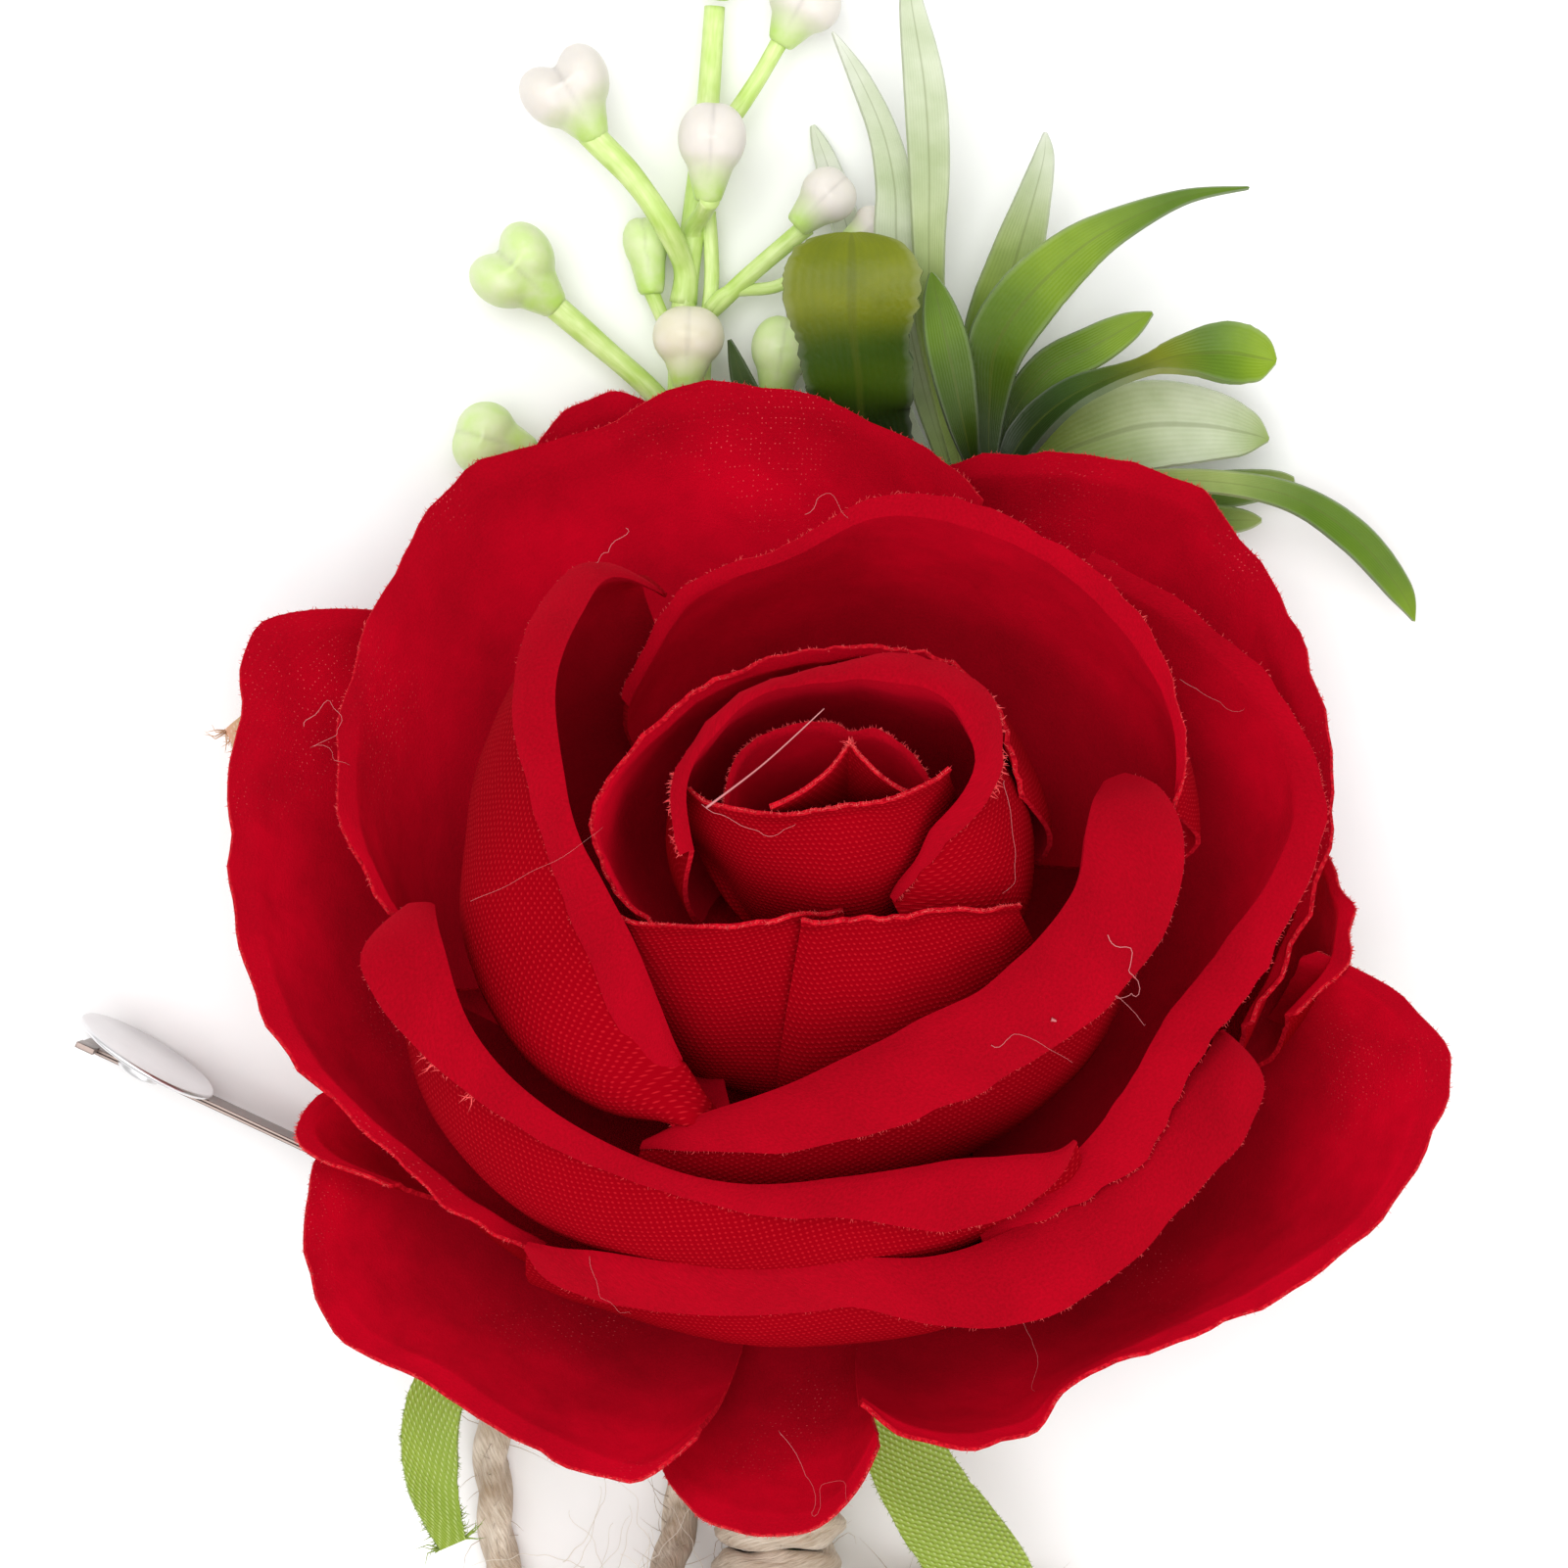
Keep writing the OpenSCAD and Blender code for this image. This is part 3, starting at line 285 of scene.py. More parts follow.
knot_wide, knot_r, knot_steps, steps_per_turn = 3.5, 1.35, 44, 16
knot_route = []
for t in range(knot_steps + 1):
    turn = 2 * math.pi * t / steps_per_turn + 1
    knot_route.append((knot_at.x * 1000 - knot_wide / 2 + knot_wide * t / knot_steps,
                       knot_at.y * 1000 + knot_r * math.cos(turn), knot_at.z * 1000 + knot_r * math.sin(turn)))
knot_line = even_route(knot_route, 0.0003)
knot_rings, knot_along = tube(knot_line, three_ply(knot_line), 20)
bow_knot = tube_piece("bow_knot_turns", [(knot_rings, knot_along)], twine_girth, jute)
fuzz_roots.extend((ring[k], q) for ring, q in zip(knot_rings[::4], knot_line[::4]) for k in (0, 7, 13))
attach(bow_knot, "root")
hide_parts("bow_knot")

# ---- Stem ----
# The rose's wire stem, wrapped in green floral tape. It comes down out of the post's foot,
# bends to lie level and runs on through the twine.

stem_r, stem_z, stem_turn, stem_l = 1.6, 4.35, math.radians(7), 58.0
rose_lean, foot_z, stem_down, stem_bend = math.radians(30), 11.0, 5.7, 60
stem_top = Vector((0, -stem_down * math.sin(rose_lean), foot_z - stem_down * math.cos(rose_lean)))
bend_r = (stem_top.z - stem_z) / (1 - math.cos(math.radians(stem_bend)))
stem_points = []
for t in range(0, stem_bend + 1, 6):
    left = math.radians(stem_bend - t)
    stem_points.append((bend_r * (math.sin(left) - math.sin(math.radians(stem_bend))),
                        stem_z + bend_r * (1 - math.cos(left))))
stem_points += [(y, stem_z) for y in (-8.0, -14.0, -24.0, -36.0, -48.0, stem_top.y - stem_l)]
stem_route = even_route([(-math.sin(stem_turn) * -y, stem_top.y + y * math.cos(stem_turn), z)
                         for y, z in stem_points], 0.0005)

tape = fibrous("floral_tape", 62, 3200.0, (58, 84, 34), (104, 134, 62), 0.6, 0.0002, Roughness=0.75)
stem_rings, stem_along = tube(stem_route, lambda share, turn: 0.001 * stem_r * (
    0.985 + 0.012 * math.cos(turn - share * 60)), 20)
stem = tube_piece("stem_taped_wire", [(stem_rings, stem_along)], 0.01, tape)
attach(stem, "root")
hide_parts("stem")

# ---- Twine binding ----
# The same twine, wound twelve times round the stem and both sprigs' stems and glued,
# its loose fibres standing off it.

wrap_pitch, wrap_turns, wrap_start, wrap_r, end_tuck, wrap_steps = 2.392, 12, 20.0, 3.05, 0.5, 14
last_step = (wrap_turns - 1) * wrap_steps
binding_points = []
for k in range(last_step + 1):
    turn = 2 * math.pi * k / wrap_steps
    down = wrap_start + wrap_pitch * (0.5 + k / wrap_steps)
    off = wrap_r - (end_tuck if k in (0, last_step) else 0)
    side = Vector((math.cos(stem_turn), -math.sin(stem_turn), 0))
    place = Vector((-math.sin(stem_turn) * down, stem_top.y - math.cos(stem_turn) * down, stem_z))
    binding_points.append(tuple(place + side * off * math.cos(turn) + Vector((0, 0, off * math.sin(turn)))))
binding_line = even_route(binding_points, 0.0004)
binding_rings, binding_along = tube(binding_line, three_ply(binding_line), 18)
binding = tube_piece("twine_binding", [(binding_rings, binding_along)], twine_girth, jute)
fuzz_roots.extend((ring[k], q) for ring, q in zip(binding_rings[::4], binding_line[::4]) for k in (1, 8, 14))
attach(binding, "root")
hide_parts("twine_wrap")

chance = random.Random(5)
strays = []
for root, centre in fuzz_roots:
    if chance.random() < 0.4 or root.z < 0.0012:
        continue
    way = (root - centre).normalized()
    drift = Vector([chance.uniform(-1, 1) for _ in range(3)]) * 0.9
    reach = chance.uniform(0.0008, 0.0042)
    line = [root - way * 0.0002]
    for k in range(4):
        step = (way + drift * (0.4 + 0.5 * k)).normalized() * reach / 4
        line.append(line[-1] + step)
    if min(q.z for q in line) > 0.0003:
        strays.append(tube(line, lambda share, turn: 0.00003 * (1.15 - share), 3))
fuzz = tube_piece("twine_stray_fibres", strays, 0.0002, jute)
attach(fuzz, "root")

# ---- Post ----
# The rolled foam post in the middle of the rose, which the petals are glued round.
# It stays as the solid shows it.

foam, tree, shader = finish_named("foam_post")
here = put(tree, "ShaderNodeTexCoord")["Object"]
cells = put(tree, "ShaderNodeTexVoronoi", Vector=here, Scale=1800.0)["Distance"]
feed(tree, shader, Base_Color=between(tree, cells, (70, 4, 10), (120, 14, 22)),
     Normal=relief(tree, cells, 0.4, 0.0002), Roughness=0.95)
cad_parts["rose_core"].material_slots[0].material = foam

# ---- Petals: rolled heart ----
# The petals are cut from a woven cloth with a flocked velvet face, and each is curled and
# glued by its foot. The three at the heart are rolled tight, woven side out.

rose_r, rose_h, cloth_wall, crease = 37.5, 36.0, 0.00032, math.radians(50)
foot_r, roll_foot_r, foot_share, core_top = 4.3, 1.6, 0.35, 0.57

# Weave: threads that cross, as dots where they come up and as a height
weave, given, out = effect_named("weave", [("Place", "Vector"), ("Pitch", "Float")],
                                 [("Dot", "Float"), ("Height", "Float")])
turns_in = worked_out(weave, "DIVIDE", 2 * math.pi, given["Pitch"])
uneven = put(weave, "ShaderNodeTexNoise", Vector=given["Place"], Scale=900.0)["Color"]
nudge = put(weave, "ShaderNodeVectorMath", {"operation": "SCALE"}, n0=uneven, Scale=0.00022)[0]
moved = put(weave, "ShaderNodeVectorMath", {"operation": "ADD"}, n0=given["Place"], n1=nudge)[0]
scaled = put(weave, "ShaderNodeVectorMath", {"operation": "SCALE"}, n0=moved, Scale=turns_in)[0]
along, across, _ = put(weave, "ShaderNodeSeparateXYZ", n0=scaled)
warp = worked_out(weave, "SINE", worked_out(weave, "ADD", along, worked_out(weave, "MULTIPLY", across, 0.5)))
cross = worked_out(weave, "ADD", warp, worked_out(weave, "SINE", across))
feed(weave, out, Dot=spread(weave, cross, 0.7, 2.0, smooth=True), Height=cross)

# Nap: the brushed pile of velvet, as a soft shade and as a height
nap, given, out = effect_named("nap", [("Place", "Vector")], [("Shade", "Float"), ("Height", "Float")])
pile = clouds(nap, given["Place"], 5200.0, 2.0, 0.7)
brushed = put(nap, "ShaderNodeMix", n0=0.42, A=pile, B=clouds(nap, given["Place"], 160.0, 3.0))[0]
feed(nap, out, Shade=spread(nap, brushed, 0.32, 0.68), Height=pile)


def mixed(tree, share, one, other, kind="MIX"):
    """Two colours mixed by a share of the other."""
    return put(tree, "ShaderNodeMix", {"data_type": "RGBA", "blend_type": kind}, n0=share, n6=one, n7=other)[2]


velvet, tree, shader = finish_named("red_velvet")
lay = put(tree, "ShaderNodeUVMap", {"uv_map": "cloth"})[0]
pile = effect(tree, nap, Place=lay)
turned_over, up, openness = put(tree, "ShaderNodeSeparateColor",
                                n0=put(tree, "ShaderNodeVertexColor", {"layer_name": "place"})[0])
# Painted light: the pile is painted lighter, towards a lit red, where it is seen at a slant (a painted sheen, weaker
# on turned-over lips) and where a petal lies open and low (painted light falling into it)
slant_for_painted_sheen = spread(tree, put(tree, "ShaderNodeLayerWeight", Blend=0.5)["Facing"], 0.02, 0.42, 0.0, 0.85)
lift = worked_out(tree, "MULTIPLY", slant_for_painted_sheen, spread(tree, turned_over, 0.0, 1.0, 1.0, 0.1))
opened = worked_out(tree, "MULTIPLY", openness, 1.05)
painted_light_in_open_petals = worked_out(tree, "MULTIPLY", opened, spread(tree, up, 0.40, 0.66, 1.0, 0.3, smooth=True))
patchy = spread(tree, clouds(tree, lay, 110.0, 4.0, 0.65), 0.35, 0.65, 0.45, 1.05)
painted_light_share = worked_out(tree, "MULTIPLY", worked_out(tree, "MAXIMUM", lift, painted_light_in_open_petals), patchy, clamp=True)
# The pile's own reds, mixed towards a painted lit red (222, 0, 36) where the painted light and sheen fall
tone = mixed(tree, painted_light_share, mixed(tree, pile["Shade"], paint(132, 0, 15), paint(166, 0, 23)), paint(222, 0, 36))
# Painted shade: the cloth is painted darker low in the rose, towards the petals' feet, and less so on petals that lie
# open
deep = worked_out(tree, "MAXIMUM", spread(tree, up, 0.20, 0.46, 0.6, 1.0, smooth=True), opened)
tone = mixed(tree, 1.0, tone, deep, "MULTIPLY")
# Where the pile is thin, single threads of the weave show as pale specks
threads = effect(tree, weave, Place=lay, Pitch=0.00034)
bared = worked_out(tree, "MULTIPLY", spread(tree, threads["Dot"], 0.80, 0.98),
                   spread(tree, clouds(tree, lay, 2400.0, 1.0), 0.52, 0.58))
bared = worked_out(tree, "MULTIPLY", spread(tree, clouds(tree, lay, 70.0), 0.52, 0.66, 0.0, 0.75), bared)
specks = worked_out(tree, "MULTIPLY", bared, spread(tree, openness, 0.45, 0.6), clamp=True)
feed(tree, shader, Base_Color=mixed(tree, specks, tone, paint(250, 104, 108)),
     Normal=relief(tree, pile["Height"], 0.35, 0.00012), Roughness=0.95, Specular_IOR_Level=0.06,
     Sheen_Weight=0.3, Sheen_Roughness=0.5, Sheen_Tint=paint(228, 0, 42))


def woven_finish(name, slant, pitch, patches, low, high, dots, showing, height=None, **look):
    """A plain woven cloth: patches of two colours, with the threads' dots showing on them."""
    material, tree, shader = finish_named(name)
    lay = put(tree, "ShaderNodeUVMap", {"uv_map": "cloth"})[0]
    turned = put(tree, "ShaderNodeMapping", Vector=lay, Rotation=(0, 0, math.radians(slant)))[0]
    threads = effect(tree, weave, Place=turned, Pitch=pitch)
    ground = mixed(tree, clouds(tree, lay, *patches), paint(*low), paint(*high))
    share = worked_out(tree, "MULTIPLY", threads["Dot"], showing)
    feed(tree, shader, Base_Color=mixed(tree, share, ground, paint(*dots)), **look)
    if height:
        feed(tree, shader, Normal=relief(tree, threads["Height"], *height))
    return material


def clouded_finish(name, low, high, scale, detail=2.0, start=0.0, stop=1.0, height=None, **look):
    """A finish of two colours clouded together, and its small ups and downs."""
    material, tree, shader = finish_named(name)
    share = clouds(tree, put(tree, "ShaderNodeTexCoord")["Object"], scale, detail)
    feed(tree, shader, Base_Color=between(tree, share, low, high, start, stop), **look)
    if height:
        feed(tree, shader, Normal=relief(tree, share, *height))
    return material


woven = woven_finish("woven_back", 0, 0.00036, (90.0,), (126, 0, 10), (150, 0, 16), (212, 36, 46), 0.38,
                     (0.3, 0.00004), Roughness=0.9, Specular_IOR_Level=0.015)
cut_edge = clouded_finish("cut_cloth_edge", (150, 0, 18), (196, 20, 36), 3800.0, start=0.35, stop=0.65,
                          Roughness=0.9, Specular_IOR_Level=0.05, Sheen_Weight=0.3, Sheen_Tint=paint(228, 0, 42))
loose_thread = clouded_finish("loose_thread", (196, 20, 36), (236, 84, 84), 2600.0, start=0.35, stop=0.65,
                              Roughness=0.8)


def through(a, m, b, t):
    """A curve from a to b whose middle is m."""
    c = 2 * m - (a + b) / 2
    return (1 - t) ** 2 * a + 2 * t * (1 - t) * c + t * t * b


def in_rose(x, y, up):
    """A point given in the rose's own frame, in millimetres, as a point of the pin."""
    return Vector((x, y * math.cos(rose_lean) + up * math.sin(rose_lean),
                   foot_z - y * math.sin(rose_lean) + up * math.cos(rose_lean))) * 0.001


def petal_point(foot_up, belly_up, shift, sections, across, t, wave, lip=1.0):
    """A petal's point at a share across it and step t up it: 0 its foot, 1 its crest, 2 its rim."""
    row = smooth_at(sections, across * (len(sections) - 1))
    middle = (sections[0][0] + sections[-1][0]) / 2
    foot = Vector((roll_foot_r if foot_up > core_top + 0.1 else foot_r, foot_up * rose_h))
    belly = Vector((row[1] * rose_r, belly_up * rose_h))
    crest, rim = Vector((row[2] * rose_r, row[3] * rose_h)), Vector((row[4] * rose_r, row[5] * rose_h))
    roll = (crest + rim) / 2 + Vector((0, 0.22 * max(0, lip - 0.4) * (rim - crest).length))
    q, soft = Vector((0, 0)), (0.46 - 0.3 * lip) * max(0.0, 1 - abs(t - 1.06) / (0.85 - 0.4 * lip))
    for off in (-1, -0.5, 0, 0.5, 1):
        at = min(max(t + off * soft, 0), 2)
        q += (through(foot, belly, crest, at) if at <= 1 else through(crest, roll, rim, at - 1)) / 5
    turn = math.radians(middle + (row[0] - middle) * (
        foot_share + (1 - foot_share) * math.sin(math.radians(90 * min(1, 2 * t)))))
    own_turn, past_crest = math.radians(row[0]), max(t - 1, 0)
    ripple = wave * min(t, 1) * noise.noise(
        Vector((math.cos(turn) * 3.2, math.sin(turn) * 3.2, t * 1.3 + foot_up * 9)))
    curl = (0.7 * wave * noise.noise(Vector((own_turn * 9, foot_up * 31, 4)))
            + 0.8 * (1 - lip) * noise.noise(Vector((own_turn * 15, foot_up * 47, 9))))
    flutter = wave * 0.7 * past_crest * noise.noise(
        Vector((math.cos(turn) * 9, math.sin(turn) * 9, foot_up * 17)))
    out = q.x + ripple + past_crest * curl
    x, y = out * math.cos(turn) + shift[0] * rose_r, out * math.sin(turn) + shift[1] * rose_r
    return in_rose(x, y, q.y + flutter)


def cut_from_cloth(name, columns, rows, place, wall, materials, lip=1.0):
    """A sheet of cloth: a grid with its points put in place, a UV map in metres along the
    cloth, and then its thickness, with a finish for each face and for its cut edge. Its
    points also keep how far the cloth has turned over there, how far up they are and how
    open the sheet lies. Gives back the piece, its flat width and length, and its area."""
    bpy.ops.object.select_all(action="DESELECT")
    bpy.ops.mesh.primitive_grid_add(x_subdivisions=columns, y_subdivisions=rows, size=1)
    piece = bpy.context.object
    piece.name = piece.data.name = name
    mesh = piece.data
    key = {v.index: (round((v.co.x + 0.5) * columns), round((v.co.y + 0.5) * rows)) for v in mesh.vertices}
    grid = [[place(i / columns, j / rows) for j in range(rows + 1)] for i in range(columns + 1)]
    wide = [[0.0] * (rows + 1) for _ in range(columns + 1)]
    high = [[0.0] * (rows + 1) for _ in range(columns + 1)]
    for j in range(rows + 1):
        for i in range(1, columns + 1):
            wide[i][j] = wide[i - 1][j] + (grid[i][j] - grid[i - 1][j]).length
        half = wide[columns][j] / 2
        for i in range(columns + 1):
            wide[i][j] -= half
    for i in range(columns + 1):
        for j in range(1, rows + 1):
            high[i][j] = high[i][j - 1] + (grid[i][j] - grid[i][j - 1]).length
    shares = mesh.color_attributes.new("place", "FLOAT_COLOR", "POINT")
    for v in mesh.vertices:
        i, j = key[v.index]
        v.co = grid[i][j]
        shares.data[v.index].color = (max(0, lip - 0.4) / 0.6 * max(0.0, min(1.0, (2 * j / rows - 0.8) / 0.4)),
                                      j / rows, 1 - lip, 1)
    cloth = mesh.uv_layers[0]
    cloth.name = "cloth"
    for loop in mesh.loops:
        i, j = key[loop.vertex_index]
        cloth.data[loop.index].uv = (wide[i][j], high[i][j])
    flat = [max(0.01, round(max(2 * row for row in wide[columns]), 3)),
            max(0.01, round(max(column[rows] for column in high), 3))]
    area = round(sum(p.area for p in mesh.polygons), 6)
    for m in materials:
        mesh.materials.append(m)
    thick = piece.modifiers.new("wall", "SOLIDIFY")
    thick.thickness, thick.offset = wall, 0
    thick.material_offset, thick.material_offset_rim = 1, 2
    bpy.ops.object.modifier_apply(modifier="wall")
    bpy.ops.object.shade_smooth_by_angle(angle=crease)
    return piece, flat, area


def fray(piece, edge, worn, finish=loose_thread):
    """Loose thread ends along a cut edge, each from a place and a way that edge(share)
    gives. worn lists stretches that have come apart: from, to, count, reach and thickness."""
    chance, ends = random.Random(len(piece.data.vertices)), []
    for start, stop, count, reach, thick in [(0, 1, 360, 0.0004, 0.000056)] + worn:
        for _ in range(count):
            root, way = edge(chance.uniform(start, stop))
            way = (way + Vector([chance.uniform(-0.8, 0.8) for _ in range(3)])).normalized()
            bent = (way + Vector([chance.uniform(-0.9, 0.9) for _ in range(3)])).normalized()
            long = reach * chance.uniform(0.2, 1)
            root -= way * 0.00008
            ends.append(tube([root, root + way * long * 0.5, root + way * long * 0.5 + bent * long * 0.5],
                             lambda share, turn, thick=thick: thick / 2 * (1.15 - share), 4))
    threads = tube_piece(piece.name + "_fray", ends, 0.0001, finish)
    threads.data.uv_layers[0].name = "cloth"
    bpy.ops.object.select_all(action="DESELECT")
    threads.select_set(True)
    piece.select_set(True)
    bpy.context.view_layer.objects.active = piece
    bpy.ops.object.join()


def petal(name, foot_up, belly_up, sections, shift=(0, 0), wave=0.3, worn=(), lip=1.0):
    """Cuts and curls one petal. A section is turn, belly out, crest out, crest up, rim out
    and rim up; out is a share of the rose's radius and up of its height. lip is how sharply
    its rim turns over."""
    def at(across, t):
        return petal_point(foot_up, belly_up, shift, sections, across, t, wave, lip)

    piece, flat, area = cut_from_cloth(name + "_cloth", 7 * (len(sections) - 1), 26, lambda a, b: at(a, 2 * b),
                                       cloth_wall, (woven, velvet, cut_edge), lip)
    fray(piece, lambda share: (at(share, 2), (at(share, 2) - at(share, 1.85)).normalized()), list(worn))
    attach(piece, "root")
    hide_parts(name)


petal("petal_heart_roll", 0.70, 0.82, [
    [238, 0.150, 0.225, 0.985, 0.228, 1.0],
    [254, 0.125, 0.150, 0.99, 0.150, 1.005],
    [268, 0.100, 0.103, 1.0, 0.101, 1.015],
    [274, 0.095, 0.096, 1.01, 0.094, 1.025],
    [281, 0.100, 0.108, 1.0, 0.107, 1.015],
    [293, 0.115, 0.142, 0.975, 0.143, 0.99],
    [307, 0.130, 0.185, 0.95, 0.187, 0.96]], shift=(0.01, 0.133), wave=0.12,
    worn=[(0.44, 0.58, 34, 0.0007, 0.00011)])
petal("petal_heart_front", 0.56, 0.78, [
    [176, 0.24, 0.240, 0.90, 0.243, 0.925],
    [190, 0.20, 0.205, 0.935, 0.205, 0.965],
    [206, 0.175, 0.148, 0.965, 0.148, 0.992],
    [235, 0.145, 0.085, 0.975, 0.085, 1.003],
    [270, 0.14, 0.065, 0.98, 0.065, 1.01],
    [310, 0.14, 0.075, 0.98, 0.075, 1.01],
    [345, 0.16, 0.120, 0.97, 0.120, 1.0],
    [368, 0.18, 0.175, 0.945, 0.175, 0.975]], wave=0.15)
petal("petal_heart_back", 0.52, 0.76, [
    [0, 0.16, 0.155, 0.90, 0.158, 0.91],
    [30, 0.13, 0.125, 0.94, 0.132, 0.95],
    [58, 0.125, 0.108, 0.955, 0.117, 0.965],
    [80, 0.125, 0.095, 0.945, 0.104, 0.955],
    [98, 0.125, 0.102, 0.96, 0.112, 0.97],
    [130, 0.14, 0.128, 0.955, 0.139, 0.965],
    [160, 0.16, 0.165, 0.935, 0.174, 0.945],
    [188, 0.15, 0.180, 0.90, 0.185, 0.91]], wave=0.15)

# ---- Petals: collars ----
# Two petals that stand round the heart as open collars, their velvet face inwards.

petal("petal_collar", 0.46, 0.68, [
    [-58, 0.27, 0.155, 0.83, 0.170, 0.835],
    [-25, 0.31, 0.155, 0.93, 0.185, 0.915],
    [4, 0.31, 0.210, 0.975, 0.255, 0.958],
    [35, 0.30, 0.200, 1.01, 0.283, 0.985],
    [65, 0.27, 0.170, 1.015, 0.240, 1.0],
    [100, 0.25, 0.165, 1.01, 0.192, 1.0],
    [150, 0.26, 0.200, 1.0, 0.226, 0.995],
    [180, 0.265, 0.240, 0.985, 0.264, 0.980],
    [203, 0.25, 0.250, 0.925, 0.272, 0.925]],
    worn=[(0.22, 0.36, 60, 0.0008, 0.00012), (0.86, 1.0, 60, 0.0007, 0.00011)])
petal("petal_outer_collar", 0.42, 0.62, [
    [8, 0.335, 0.294, 0.845, 0.296, 0.862],
    [24, 0.35, 0.289, 0.90, 0.293, 0.922],
    [48, 0.36, 0.292, 0.93, 0.297, 0.955],
    [72, 0.34, 0.268, 0.93, 0.272, 0.955],
    [100, 0.32, 0.250, 0.93, 0.255, 0.958],
    [135, 0.33, 0.272, 0.93, 0.279, 0.955],
    [162, 0.35, 0.320, 0.92, 0.328, 0.945],
    [184, 0.325, 0.385, 0.89, 0.395, 0.915],
    [197, 0.30, 0.375, 0.85, 0.382, 0.87],
    [210, 0.26, 0.340, 0.79, 0.345, 0.81],
    [224, 0.21, 0.245, 0.74, 0.248, 0.76]], lip=0.5)

# ---- Petals: front of the bud ----
# Two short petals wrapped close across the front of the bud, their woven side showing.

petal("petal_bud_left", 0.34, 0.47, [
    [196, 0.44, 0.415, 0.80, 0.415, 0.825],
    [209, 0.415, 0.380, 0.825, 0.380, 0.85],
    [220, 0.38, 0.312, 0.835, 0.312, 0.86],
    [236, 0.35, 0.235, 0.835, 0.235, 0.86],
    [252, 0.325, 0.188, 0.832, 0.188, 0.858],
    [272, 0.29, 0.155, 0.80, 0.155, 0.82]])
petal("petal_bud_right", 0.36, 0.48, [
    [253, 0.335, 0.206, 0.845, 0.206, 0.872],
    [275, 0.34, 0.198, 0.85, 0.198, 0.875],
    [297, 0.35, 0.212, 0.842, 0.212, 0.867],
    [315, 0.355, 0.245, 0.84, 0.245, 0.868],
    [325, 0.36, 0.290, 0.83, 0.290, 0.858],
    [334, 0.36, 0.320, 0.79, 0.320, 0.82]])

# ---- Petals: wings and back ----
# Four petals that cup the bud, their rims rolled outwards so that the velvet turns over.

petal("petal_wing_left", 0.27, 0.60, [
    [121, 0.59, 0.550, 0.765, 0.560, 0.76],
    [131, 0.58, 0.560, 0.90, 0.600, 0.905],
    [143, 0.58, 0.510, 0.97, 0.585, 0.975],
    [158, 0.58, 0.475, 1.01, 0.555, 1.0],
    [175, 0.585, 0.440, 1.0, 0.507, 0.975],
    [192, 0.60, 0.410, 0.935, 0.473, 0.90],
    [210, 0.59, 0.388, 0.865, 0.460, 0.83],
    [226, 0.55, 0.405, 0.775, 0.488, 0.74],
    [236, 0.50, 0.430, 0.695, 0.518, 0.655],
    [243, 0.475, 0.450, 0.640, 0.524, 0.612],
    [247, 0.455, 0.455, 0.575, 0.462, 0.568]])
petal("petal_back", 0.31, 0.52, [
    [9, 0.56, 0.550, 0.70, 0.555, 0.72],
    [20, 0.565, 0.575, 0.82, 0.595, 0.84],
    [40, 0.56, 0.575, 0.87, 0.607, 0.892],
    [62, 0.55, 0.555, 0.91, 0.595, 0.93],
    [82, 0.53, 0.530, 0.915, 0.570, 0.935],
    [100, 0.50, 0.475, 0.875, 0.500, 0.895],
    [118, 0.46, 0.480, 0.84, 0.505, 0.860],
    [127, 0.44, 0.472, 0.785, 0.492, 0.80],
    [139, 0.42, 0.455, 0.69, 0.472, 0.705]], lip=0.6)
petal("petal_wing_right", 0.24, 0.42, [
    [236, 0.56, 0.555, 0.605, 0.570, 0.603],
    [245, 0.53, 0.475, 0.665, 0.545, 0.638],
    [262, 0.49, 0.390, 0.72, 0.510, 0.67],
    [285, 0.455, 0.335, 0.755, 0.480, 0.705],
    [308, 0.445, 0.332, 0.785, 0.487, 0.735],
    [328, 0.46, 0.352, 0.805, 0.525, 0.768],
    [345, 0.47, 0.378, 0.825, 0.552, 0.79],
    [358, 0.48, 0.378, 0.825, 0.550, 0.812],
    [367, 0.47, 0.400, 0.805, 0.525, 0.815],
    [375, 0.45, 0.450, 0.755, 0.485, 0.768]])
petal("petal_wing_low", 0.19, 0.38, [
    [188, 0.66, 0.655, 0.72, 0.700, 0.735],
    [196, 0.68, 0.640, 0.76, 0.790, 0.755],
    [208, 0.69, 0.660, 0.74, 0.755, 0.722],
    [220, 0.68, 0.645, 0.70, 0.700, 0.675],
    [233, 0.655, 0.615, 0.675, 0.655, 0.655],
    [250, 0.615, 0.580, 0.644, 0.618, 0.622],
    [270, 0.58, 0.530, 0.625, 0.590, 0.600],
    [288, 0.57, 0.515, 0.616, 0.630, 0.575],
    [299, 0.555, 0.548, 0.608, 0.632, 0.577],
    [306, 0.545, 0.580, 0.598, 0.612, 0.586],
    [310, 0.53, 0.582, 0.585, 0.588, 0.583]],
    worn=[(0.20, 0.27, 16, 0.0014, 0.0001)])

# ---- Petals: guards ----
# Two broad petals that hold the cup from the right and from below; the lower one's rim
# is folded right over.

petal("petal_guard_right", 0.15, 0.34, [
    [-68, 0.59, 0.600, 0.47, 0.632, 0.472],
    [-60, 0.585, 0.595, 0.505, 0.640, 0.495],
    [-51, 0.58, 0.568, 0.53, 0.648, 0.508],
    [-42, 0.575, 0.555, 0.545, 0.672, 0.508],
    [-35, 0.57, 0.552, 0.55, 0.652, 0.515],
    [-22, 0.565, 0.552, 0.56, 0.655, 0.535],
    [-8, 0.575, 0.610, 0.565, 0.722, 0.565],
    [2, 0.59, 0.690, 0.575, 0.775, 0.592],
    [12, 0.61, 0.765, 0.595, 0.825, 0.615],
    [24, 0.61, 0.775, 0.61, 0.825, 0.635],
    [38, 0.61, 0.740, 0.635, 0.790, 0.66],
    [55, 0.60, 0.710, 0.65, 0.750, 0.665]], lip=0.6)
